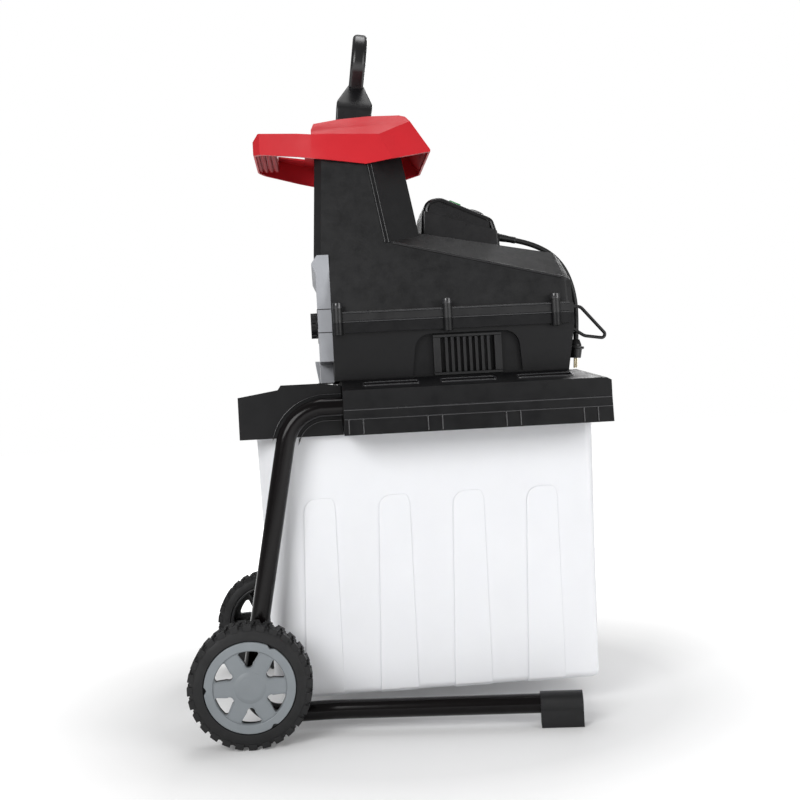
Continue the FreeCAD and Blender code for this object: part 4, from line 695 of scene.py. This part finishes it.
def make_tray_ribs():
    """Pairs of upright ribs on the tray's lower band."""
    paths = []
    for side in SIDES:
        for number in range(4):
            for apart in (0, RIB_PAIR):
                x = TRAY_LEFT + RIB_START + TRAY_PITCH * number + apart
                paths.append([(x, side * (TRAY_HALF + 0.0032), TRAY_FOOT_Z),
                              (x, side * (TRAY_HALF + 0.0016), TRAY_BAND_Z)])
    # The rib beads take the lighter black, a painted highlight on each rib.
    add_beads("tray_rib_beads", paths, 0.0012, "machine", "black_edge_highlight")


def make_throat_lines():
    """Double bead down the throat's crease and one along the bonnet's shoulder."""
    tree = surface_tree("upper_housing")

    def laid(places, side):
        points = [on_side(tree, x, z, side, ON_SURFACE) for x, z in places]
        return [point for point in points if point]

    crease, shoulder = [], []
    heights = [0.655 + 0.130 * k / 11 for k in range(12)]
    lengths = [-0.012 + 0.233 * k / 23 for k in range(24)]
    edge = [(x, SHOULDER_Z - SHOULDER_DROP * (x - BONNET_LEFT) / BONNET_LONG - 0.0015) for x in lengths]
    lean = CREASE_LEAN / (THROAT_TOP - THROAT_FOOT)
    for side in SIDES:
        for shift in (0.0022, 0.0072):
            crease.append(laid([(-lean * (z - THROAT_FOOT) - shift, z) for z in heights], side))
        shoulder.append(laid(edge, side))
    add_beads("throat_beads", crease, BROAD_BEAD, "machine", "black_gloss")
    add_beads("shoulder_beads", shoulder, BROAD_BEAD, "machine", "black_gloss")


PLATE_FACE, PLATE_BACK, PLATE_HALF, JOINT_RADIUS = -0.1212, -0.1025, 0.1321, 0.0006


def make_plate_lines():
    """Thin joints round the grey end plate, above and below its middle panel."""
    corner = [(PLATE_BACK, PLATE_HALF), (PLATE_FACE, PLATE_HALF), (PLATE_FACE - 0.0001, PLATE_HALF - 0.001)]
    outline = [(x, -y) for x, y in corner] + corner[::-1]
    for name, z in (("plate_joint_high", 0.566), ("plate_joint_low", 0.534)):
        mesh = curve_mesh(name, [[(x, y, z) for x, y in outline]], JOINT_RADIUS, 1)
        finish_piece(new_piece(name, mesh, "machine", "black_plastic"))


def make_boss_rings():
    """Raised collars round the screw heads on the flange bosses."""
    profile = [(0.0047, 0.0), (0.0047, 0.0034), (0.0054, 0.0040), (0.0066, 0.0034), (0.0070, 0.0),
               (0.0066, -0.0040)]
    form = bmesh.new()
    for side in SIDES:
        for number in range(3):
            ring = revolve("ring", profile, 32)
            place = (FLANGE_LEFT + BOSS_PITCH * number, side * FLANGE_HALF, BOSS_Z)
            ring.transform(Matrix.Translation(place))
            form.from_mesh(ring)
    mesh = mesh_from(form, "boss_rings", outward=False)
    # The rings take the lighter black, a painted highlight round each screw head.
    finish_piece(new_piece("boss_rings", mesh, "machine", "black_edge_highlight"), 0.0003)


make_tray_ribs()
make_throat_lines()
make_plate_lines()
make_boss_rings()


# --- Solid forms for the moulded pieces, joined and cut before they get their edges.
PLANES = {"XY": lambda u, v, w: (u, v, w), "XZ": lambda u, v, w: (u, w, v), "YZ": lambda u, v, w: (w, u, v)}


def solid(rings):
    """A closed solid through rings of equally many points, first and last capped."""
    form = bmesh.new()
    skin(form, [[form.verts.new(point) for point in ring] for ring in rings])
    return mesh_from(form, "solid")


def prism(plane, outline, low, high):
    place = PLANES[plane]
    return solid([[place(u, v, w) for u, v in outline] for w in (low, high)])


def block(x_low, x_high, y_low, y_high, z_low, z_high):
    return prism("XY", [(x_low, y_low), (x_high, y_low), (x_high, y_high), (x_low, y_high)], z_low, z_high)


def combined(operation, base, *tools):
    """The union, difference or intersection of solids."""
    item = linked("base", base)
    others = [linked("tool", tool) for tool in tools]
    for other in others:
        step = item.modifiers.new("step", "BOOLEAN")
        step.operation = operation
        step.solver = "EXACT"
        step.object = other
    mesh = evaluated_mesh(item)
    for each in [item] + others:
        bpy.data.objects.remove(each)
    return mesh


def union(*solids):
    return combined("UNION", *solids)


def minus(base, *tools):
    return combined("DIFFERENCE", base, *tools)


def overlap(*solids):
    return combined("INTERSECT", *solids)


def softened(mesh, width, segments=3, degrees=14):
    """A solid with its edges rounded, before it is hollowed or cut."""
    item = linked("soft", mesh)
    add_bevel(item, width, degrees, segments)
    soft = evaluated_mesh(item)
    bpy.data.objects.remove(item)
    return soft


def mirrored_y(points):
    """An outline with its points for positive y completed on the negative side."""
    return points + [(x, -y) for x, y in reversed(points)]


def mirrored_across(points):
    """The same for an outline seen along X."""
    return points + [(-y, z) for y, z in reversed(points)]


def rounded(outline, radii, steps=5):
    """An outline whose corners, by number, are turned into arcs."""
    points = []
    for k, corner in enumerate(outline):
        radius = radii.get(k, 0)
        if not radius:
            points.append(corner)
            continue
        here = Vector(corner)
        back = (Vector(outline[k - 1]) - here).normalized()
        ahead = (Vector(outline[(k + 1) % len(outline)]) - here).normalized()
        half = back.angle(ahead) / 2
        centre = here + (back + ahead).normalized() * radius / math.sin(half)
        first = here + back * radius / math.tan(half) - centre
        last = here + ahead * radius / math.tan(half) - centre
        turn = math.atan2(first.x * last.y - first.y * last.x, first.dot(last))
        for i in range(steps + 1):
            points.append(tuple(centre + turned(first, turn * i / steps)))
    return points


# --- Hopper collar: a low wing with a grip, and a taller hood that leans back to its tip.
COLLAR_LEFT, COLLAR_TIP = -0.201, 0.052
COLLAR_HALF, COLLAR_SHOULDER_X, COLLAR_LEFT_HALF = 0.105, -0.118, 0.074
TIP_LOW_HALF, TIP_TOP_HALF = 0.087, 0.070
CREASE_LOW, CREASE_TOP = 0.001, -0.044
COLLAR_BOTTOM, COLLAR_DIP_X, COLLAR_TIP_Z = 0.770, -0.042, 0.792
WING_LEFT_Z, WING_SHOULDER_Z, WING_RIGHT_Z, WING_RIGHT_X = 0.825, 0.8145, 0.8105, 0.0
RIM_HALF, RIM_Z, RIM_LEFT, RIM_RIGHT = 0.070, 0.845, -0.113, 0.019
COLLAR_WALL = 0.003
MOUTH_LEFT, MOUTH_RIGHT, MOUTH_HALF, LEDGE_Z = -0.104, 0.004, 0.054, 0.8377
GRIP_LEFT, GRIP_RIGHT, GRIP_HALF = -0.168, -0.128, 0.060
GRIP_RIB, GRIP_RIB_PITCH = 0.0036, 0.008


def collar_plan(share, inset):
    crease = CREASE_LOW + (CREASE_TOP - CREASE_LOW) * share
    tip_half = TIP_LOW_HALF + (TIP_TOP_HALF - TIP_LOW_HALF) * share
    return mirrored_y([(COLLAR_LEFT + inset, COLLAR_LEFT_HALF - 0.014 - inset),
                       (COLLAR_LEFT + 0.010 + inset, COLLAR_LEFT_HALF - inset),
                       (COLLAR_SHOULDER_X - 0.020, COLLAR_HALF - 0.0075 - inset),
                       (COLLAR_SHOULDER_X, COLLAR_HALF - 0.0025 - inset),
                       (COLLAR_SHOULDER_X + 0.023, COLLAR_HALF - inset),
                       (crease - inset * 0.4, COLLAR_HALF - inset),
                       (COLLAR_TIP - inset, tip_half - inset)])


def collar_form(inset):
    """The collar's outer form, or the hollow under it when inset by the wall."""
    low = COLLAR_BOTTOM - inset * 3
    far = COLLAR_HALF + 0.010
    sides = solid([[(x, y, z) for x, y in collar_plan(share, inset)] for share, z in ((0, low), (1, RIM_Z))])
    wing = prism("XZ", [
        (COLLAR_LEFT - 0.005, low + 0.030), (COLLAR_LEFT + 0.003, low + 0.026),
        (COLLAR_SHOULDER_X, low + 0.011), (COLLAR_DIP_X, low),
        (WING_RIGHT_X, low + 0.007), (WING_RIGHT_X, WING_RIGHT_Z - inset),
        (COLLAR_SHOULDER_X, WING_SHOULDER_Z - inset),
        (COLLAR_LEFT + 0.008 + inset, WING_LEFT_Z - inset),
        (COLLAR_LEFT + inset, WING_LEFT_Z - 0.009 - inset),
        (COLLAR_LEFT - 0.005 + inset, WING_LEFT_Z - 0.020)], -far, far)
    hood = prism("XZ", [
        (RIM_LEFT - 0.004 + inset, low + 0.030), (COLLAR_DIP_X, low), (WING_RIGHT_X, low + 0.007),
        (COLLAR_TIP - inset * 0.5, COLLAR_TIP_Z - 0.003 - inset * 3), (COLLAR_TIP, COLLAR_TIP_Z - inset),
        (RIM_RIGHT - inset * 0.6, RIM_Z - 0.003 - inset), (RIM_RIGHT - 0.009, RIM_Z - inset),
        (RIM_LEFT + 0.079, RIM_Z - inset), (RIM_LEFT + 0.035, RIM_Z - 0.004 - inset),
        (RIM_LEFT + inset * 0.4, RIM_Z - 0.011 - inset),
        (RIM_LEFT - 0.004 + inset, RIM_Z - 0.022)], -far, far)
    across = prism("YZ", mirrored_across([
        (COLLAR_HALF - inset, low - 0.005), (COLLAR_HALF - inset, WING_RIGHT_Z - inset * 0.5),
        (RIM_HALF - inset * 0.5, RIM_Z + 0.001 - inset)]), COLLAR_LEFT - 0.010, COLLAR_TIP + 0.010)
    return union(overlap(sides.copy(), wing), overlap(sides, hood, across))


def make_collar():
    above = RIM_Z + 0.020
    funnel = minus(
        block(MOUTH_LEFT - 0.003, MOUTH_RIGHT + 0.003, -MOUTH_HALF - 0.011, MOUTH_HALF + 0.011,
              THROAT_TOP + 0.0001, RIM_Z - 0.009),
        block(MOUTH_LEFT, MOUTH_RIGHT, -MOUTH_HALF, MOUTH_HALF, THROAT_TOP - 0.005, above),
        block(MOUTH_LEFT, MOUTH_RIGHT, -MOUTH_HALF - 0.008, MOUTH_HALF + 0.008, LEDGE_Z, above))
    shell = minus(softened(collar_form(0), 0.0045), collar_form(COLLAR_WALL),
                  block(MOUTH_LEFT, MOUTH_RIGHT, -MOUTH_HALF - 0.008, MOUTH_HALF + 0.008, LEDGE_Z, above),
                  block(MOUTH_LEFT, MOUTH_RIGHT, -MOUTH_HALF, MOUTH_HALF, THROAT_TOP, above),
                  block(GRIP_LEFT, GRIP_RIGHT, -GRIP_HALF, GRIP_HALF, COLLAR_BOTTOM - 0.030, above))
    bar_low = WING_LEFT_Z - 0.024
    bar = overlap(block(COLLAR_LEFT, GRIP_LEFT, -GRIP_HALF - 0.003, GRIP_HALF + 0.003, bar_low, WING_LEFT_Z),
                  collar_form(0.0004))
    mesh = union(shell, funnel, bar)
    collar = new_piece("collar_shell", mesh, "machine", "red_plastic")
    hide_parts("hopper_collar")
    finish_piece(collar, 0.0007)
    ribs = curve_mesh("grip_ribs", [
        [(x, -GRIP_HALF, bar_low), (x, GRIP_HALF, bar_low)]
        for x in (GRIP_LEFT - GRIP_RIB - GRIP_RIB_PITCH * k for k in range(4))], GRIP_RIB, 4)
    # The grip ribs take the darker red, which paints the shade under the wing.
    finish_piece(new_piece("grip_ribs", ribs, "machine", "red_rib_shade"))


make_collar()


# --- Collection box: arched panels that stand proud of its drafted sides.
BOX_HALF, BOX_BOTTOM, BOX_MOUTH = 0.150, 0.037, 0.398
BOX_DRAFT = math.tan(math.radians(1.3))
PANEL_PROUD, PANEL_SUNK = 0.0030, 0.0012
PANEL_TOP, PANEL_ROUND, PANEL_FOOT = 0.308, 0.017, 0.014
PANEL_LEFT, PANEL_PITCH, PANEL_WIDE, PANEL_SPREAD = -0.153, 0.102, 0.042, 0.010


def box_wall_y(z):
    return BOX_HALF - (BOX_MOUTH - z) * BOX_DRAFT


def panel_ring(z, left, side):
    """Four corners of a panel at one height: its sides curl in at the top and spread toward the foot."""
    over = max(0.0, z - (PANEL_TOP - PANEL_ROUND))
    curl = PANEL_ROUND - math.sqrt(max(0.0, PANEL_ROUND ** 2 - over ** 2))
    spread = PANEL_SPREAD * (PANEL_TOP - z) / (PANEL_TOP - BOX_BOTTOM)
    foot = max(0.0, BOX_BOTTOM + PANEL_FOOT - z) * 0.75
    wall = box_wall_y(z) - PANEL_SUNK - (foot if z < BOX_BOTTOM + 0.004 else 0) * 0.4
    face = wall + PANEL_PROUD - min(foot * 0.15, PANEL_PROUD * 0.8)
    x_low, x_high = left - spread + curl, left + PANEL_WIDE - curl * 0.4
    return [(x, side * y, z) for x, y in ((x_low, wall), (x_low, face), (x_high, face), (x_high, wall))]


def make_box_panels():
    levels = [BOX_BOTTOM + 0.0005, BOX_BOTTOM + 0.005, BOX_BOTTOM + PANEL_FOOT, 0.12, 0.2,
              PANEL_TOP - PANEL_ROUND]
    levels += [PANEL_TOP - PANEL_ROUND * (1 - math.sin(math.pi / 2 * k / 6)) for k in range(1, 7)]
    form = bmesh.new()
    for side in SIDES:
        for number in range(4):
            left = PANEL_LEFT + PANEL_PITCH * number
            skin(form, [[form.verts.new(point) for point in panel_ring(z, left, side)] for z in levels])
    finish_piece(new_piece("box_panels", mesh_from(form, "box_panels"), "box", "box_plastic"), 0.0011)


make_box_panels()


# --- Lower housing with an arched recess round each vent, and the vents themselves.
BODY_BASE_HALF, BODY_HALF, DECK_Z = 0.140, 0.145, 0.4661
GRILLE_LEFT, GRILLE_RIGHT, GRILLE_LOW, GRILLE_TOP = 0.035, 0.130, 0.467, 0.523
GRILLE_FRONT, GRILLE_DEEP, GRILLE_EDGE, GRILLE_SLOTS = 0.1430, 0.008, 0.010, 9
ARCH_DEEP, SHELL = 0.0045, 0.003
VENT_BAFFLE_Y, GRILLE_BORDER = 0.1255, 0.004


def arch_outline(over):
    low = DECK_Z + SHELL - over
    outline = [(0.005 - over, low), (0.158 + over, low), (0.154 + over, 0.525 + over),
               (0.012 - over, 0.525 + over)]
    return rounded(outline, {2: 0.022 + over, 3: 0.022 + over}, 8)


def make_lower_housing():
    mesh = cad_mesh("lower_housing")
    for side in SIDES:
        floor_y = side * (BODY_BASE_HALF - ARCH_DEEP)
        back = sorted((floor_y - side * SHELL, side * (BODY_BASE_HALF - 0.0005)))
        front = sorted((floor_y, side * (BODY_HALF + 0.012)))
        gap = sorted((floor_y - side * 0.006, side * (BODY_HALF + 0.012)))
        mesh = union(mesh, prism("XZ", arch_outline(SHELL), *back))
        mesh = minus(mesh, prism("XZ", arch_outline(0), *front),
                     block(GRILLE_LEFT - 0.0001, GRILLE_RIGHT + 0.0001, *gap, GRILLE_LOW,
                           GRILLE_TOP + 0.0001))
    # The lower housing takes the same darker black, as painted shade under the flange.
    housing = new_piece("lower_housing_shell", mesh, "machine", "black_plastic_shaded")
    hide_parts("lower_housing")
    finish_piece(housing, 0.0012)


def make_grille(side, tag):
    """A deep frame with upright slats and open slots between them."""
    form = bmesh.new()

    def bar(x_low, x_high, z_low, z_high, y_front, y_back):
        front, back = side * y_front, side * y_back
        add_block(form, [(x_low, back, z_low), (x_high, back, z_low), (x_high, front, z_low),
                         (x_low, front, z_low), (x_low, back, z_high), (x_high, back, z_high),
                         (x_high, front, z_high), (x_low, front, z_high)])

    front, back = GRILLE_FRONT, GRILLE_FRONT - GRILLE_DEEP
    inner_low, inner_top = GRILLE_LOW + GRILLE_BORDER, GRILLE_TOP - GRILLE_BORDER
    bar(GRILLE_LEFT, GRILLE_RIGHT, GRILLE_LOW, inner_low, front, back)
    bar(GRILLE_LEFT, GRILLE_RIGHT, inner_top, GRILLE_TOP, front, back)
    bar(GRILLE_LEFT, GRILLE_LEFT + GRILLE_EDGE, inner_low, inner_top, front, back)
    bar(GRILLE_RIGHT - GRILLE_EDGE, GRILLE_RIGHT, inner_low, inner_top, front, back)
    bar(GRILLE_LEFT - 0.003, GRILLE_RIGHT + 0.003, GRILLE_LOW + 0.001, GRILLE_TOP - 0.001,
        VENT_BAFFLE_Y, VENT_BAFFLE_Y - 0.002)
    pitch = (GRILLE_RIGHT - GRILLE_LEFT - GRILLE_EDGE * 2) / GRILLE_SLOTS
    for number in range(1, GRILLE_SLOTS):
        middle = GRILLE_LEFT + GRILLE_EDGE + pitch * number
        bar(middle - pitch / 4, middle + pitch / 4, inner_low, inner_top, front - 0.0006, back + 0.001)
    vent = new_piece(f"vent_{tag}", mesh_from(form, f"vent_{tag}"), "machine", "black_plastic")
    finish_piece(vent, 0.0005)
    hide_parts(f"vent_grille_{tag}")


make_lower_housing()
for vent_side, vent_tag in zip(SIDES, ("near", "far")):
    make_grille(vent_side, vent_tag)


# --- Pusher: a D-shaped handle on a flared shoulder, over the paddle and its flange.
PUSHER_X, PUSHER_Z, PUSHER_TILT = -0.052, 0.863, math.radians(8)
HANDLE_RISE, HANDLE_HALF, HANDLE_THICK, HANDLE_BAR = 0.1185, 0.052, 0.011, 0.0145
PADDLE_THICK, PADDLE_HALF, PADDLE_LONG = 0.025, 0.049, 0.120
PUSHER_FLANGE = (-0.082, -0.030, -0.060, 0.060, 0.838, 0.842)


def make_pusher():
    handle = softened(prism("YZ", rounded(mirrored_across([
        (0.021, 0.030), (0.050, 0.062), (HANDLE_HALF, HANDLE_RISE)]),
        {1: 0.026, 2: 0.040, 3: 0.040, 4: 0.026}, 8), -HANDLE_THICK, HANDLE_THICK), 0.0065, 4, 40)
    eye = prism("YZ", rounded(mirrored_across([
        (0.010, 0.062), (0.031, 0.078), (0.031, HANDLE_RISE - HANDLE_BAR)]),
        {1: 0.008, 2: 0.018, 3: 0.018, 4: 0.008}, 6), -0.03, 0.03)
    shoulder = solid([[(-x, -y, z), (x, -y, z), (x, y, z), (-x, y, z)] for x, y, z in (
        (PADDLE_THICK, PADDLE_HALF, -0.020), (PADDLE_THICK + 0.0012, PADDLE_HALF, 0.0),
        (PADDLE_THICK + 0.0012, PADDLE_HALF - 0.005, 0.010), (0.0105, 0.021, 0.043))])
    paddle = block(-PADDLE_THICK, PADDLE_THICK, -PADDLE_HALF, PADDLE_HALF, -PADDLE_LONG, -0.018)
    pusher = union(minus(handle, eye), softened(shoulder, 0.003), paddle)
    pusher.transform(Matrix.Translation((PUSHER_X, 0, PUSHER_Z)) @ Matrix.Rotation(PUSHER_TILT, 4, "Y"))
    item = new_piece("pusher_handle", union(pusher, block(*PUSHER_FLANGE)), "pusher", "black_gloss")
    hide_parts("pusher")
    finish_piece(item, 0.0008, 24)


make_pusher()


# --- Switch box: the solids of its base and lid, with their outer edges rounded.
SWITCH_HALF, LID_ROUND, BASE_ROUND = 0.046, 0.0065, 0.0050


def soften_switch_box():
    """Cut the base and lid to rounded forms that are larger than them where the two meet."""
    lid = softened(prism("XZ", [
        (0.040, 0.670), (0.149, 0.650), (0.148, 0.680), (0.1435, 0.6965), (0.066, 0.731), (0.048, 0.7268),
        (0.0412, 0.716)], -SWITCH_HALF, SWITCH_HALF), LID_ROUND, 4)
    base = softened(prism("XZ", [
        (0.0335, 0.620), (0.1556, 0.600), (0.148, 0.720), (0.040, 0.730)],
        -SWITCH_HALF, SWITCH_HALF), BASE_ROUND, 4)
    for node, form in (("switch_box_lid", lid), ("switch_box_base", base)):
        item = new_piece(node + "_soft", overlap(cad_mesh(node), form), "machine", "black_gloss")
        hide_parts(node)
        finish_piece(item, 0.0006, 30)


soften_switch_box()


# --- Shallow pockets on the tray's deck.
def make_pocket_rims():
    """Raised edges round the shallow pockets on the tray's sloping deck."""
    slope = DECK_DROP / (TRAY_HALF - DECK_HALF)
    rims = []
    for side in SIDES:
        for number in range(3):
            left = POCKET_LEFT + TRAY_PITCH * number
            right = left + POCKET_LONG
            corners = [(left, POCKET_NEAR), (right, POCKET_NEAR), (right, POCKET_FAR), (left, POCKET_FAR)]
            outline = rounded(corners, dict.fromkeys(range(4), POCKET_ROUND), 3)
            rims.append([(x, side * y, DECK_TOP - slope * (y - DECK_HALF) + ON_SURFACE) for x, y in outline])
    # The rims take the lighter black, a painted highlight round each pocket.
    add_beads("pocket_rims", rims, BEAD, "machine", "black_edge_highlight", True)


make_pocket_rims()


# --- White studio: floor that keeps the shadow, soft lamps and a white world.
def seen_directly(tree):
    """1 for camera, glossy and transmitted rays, which see the white surround."""
    path = tree.nodes.new("ShaderNodeLightPath")
    total = path.outputs["Is Camera Ray"]
    for name in ("Is Glossy Ray", "Is Transmission Ray"):
        most = tree.nodes.new("ShaderNodeMath")
        most.operation = "MAXIMUM"
        tree.links.new(total, most.inputs[0])
        tree.links.new(path.outputs[name], most.inputs[1])
        total = most.outputs[0]
    return total


FLOOR_REACH, FLOOR_DROP = 12.0, 0.0005
FLOOR_GLOW, GLOW_STARTS, GLOW_FULL = 0.08, 0.38, 1.1
AMBIENT = 0.3


def floor_material():
    """White that reflects evenly, and glows more with distance from the machine where it is seen."""
    material = bpy.data.materials.new("floor_white")
    material.use_nodes = True
    tree = material.node_tree
    tree.nodes.clear()
    new, link = tree.nodes.new, tree.links.new
    diffuse = new("ShaderNodeBsdfDiffuse")
    diffuse.inputs["Color"].default_value = (0.8, 0.8, 0.8, 1)
    far = new("ShaderNodeVectorMath")
    far.operation = "LENGTH"
    link(new("ShaderNodeNewGeometry").outputs["Position"], far.inputs[0])
    fade = new("ShaderNodeMapRange")
    fade.inputs["From Min"].default_value = GLOW_STARTS
    fade.inputs["From Max"].default_value = GLOW_FULL
    fade.inputs["To Min"].default_value = FLOOR_GLOW
    link(far.outputs["Value"], fade.inputs["Value"])
    strength = new("ShaderNodeMath")
    strength.operation = "MULTIPLY"
    link(seen_directly(tree), strength.inputs[0])
    link(fade.outputs["Result"], strength.inputs[1])
    glow = new("ShaderNodeEmission")
    link(strength.outputs[0], glow.inputs["Strength"])
    both = new("ShaderNodeAddShader")
    link(diffuse.outputs[0], both.inputs[0])
    link(glow.outputs[0], both.inputs[1])
    link(both.outputs[0], new("ShaderNodeOutputMaterial").inputs["Surface"])
    return material


def make_stage():
    form = bmesh.new()
    form.faces.new([form.verts.new((x * FLOOR_REACH, y * FLOOR_REACH, 0))
                    for x, y in ((-1, -1), (1, -1), (1, 1), (-1, 1))])
    floor = linked("floor", mesh_from(form, "floor", outward=False))
    floor.location.z = -FLOOR_DROP
    floor.data.materials.append(floor_material())


def make_world():
    world = bpy.data.worlds.new("studio")
    scene.world = world
    world.use_nodes = True
    tree = world.node_tree
    background = tree.nodes["Background"]
    background.inputs["Color"].default_value = (1, 1, 1, 1)
    strength = tree.nodes.new("ShaderNodeMapRange")
    strength.inputs["To Min"].default_value = AMBIENT
    path = tree.nodes.new("ShaderNodeLightPath")
    tree.links.new(path.outputs["Is Camera Ray"], strength.inputs["Value"])
    tree.links.new(strength.outputs["Result"], background.inputs["Strength"])


def add_lamp(name, place, target, size, power):
    data = bpy.data.lights.new(name, "AREA")
    data.shape = "RECTANGLE"
    data.size, data.size_y = size
    data.energy = power
    lamp = linked(name, data)
    lamp.location = place
    lamp.rotation_euler = (Vector(target) - Vector(place)).to_track_quat("-Z", "Y").to_euler()


def make_lamps():
    middle = (0.0, 0.0, 0.5)
    add_lamp("key", (-1.5, -2.2, 1.5), middle, (1.3, 1.3), 42)
    add_lamp("fill", (1.9, -2.0, 0.9), middle, (1.4, 1.4), 27)
    add_lamp("top", (0.1, 0.3, 2.6), middle, (1.2, 1.0), 16)
    add_lamp("back", (0.6, 2.2, 1.6), middle, (1.4, 1.0), 22)


make_stage()
make_world()
make_lamps()
scene.view_settings.view_transform = "Standard"
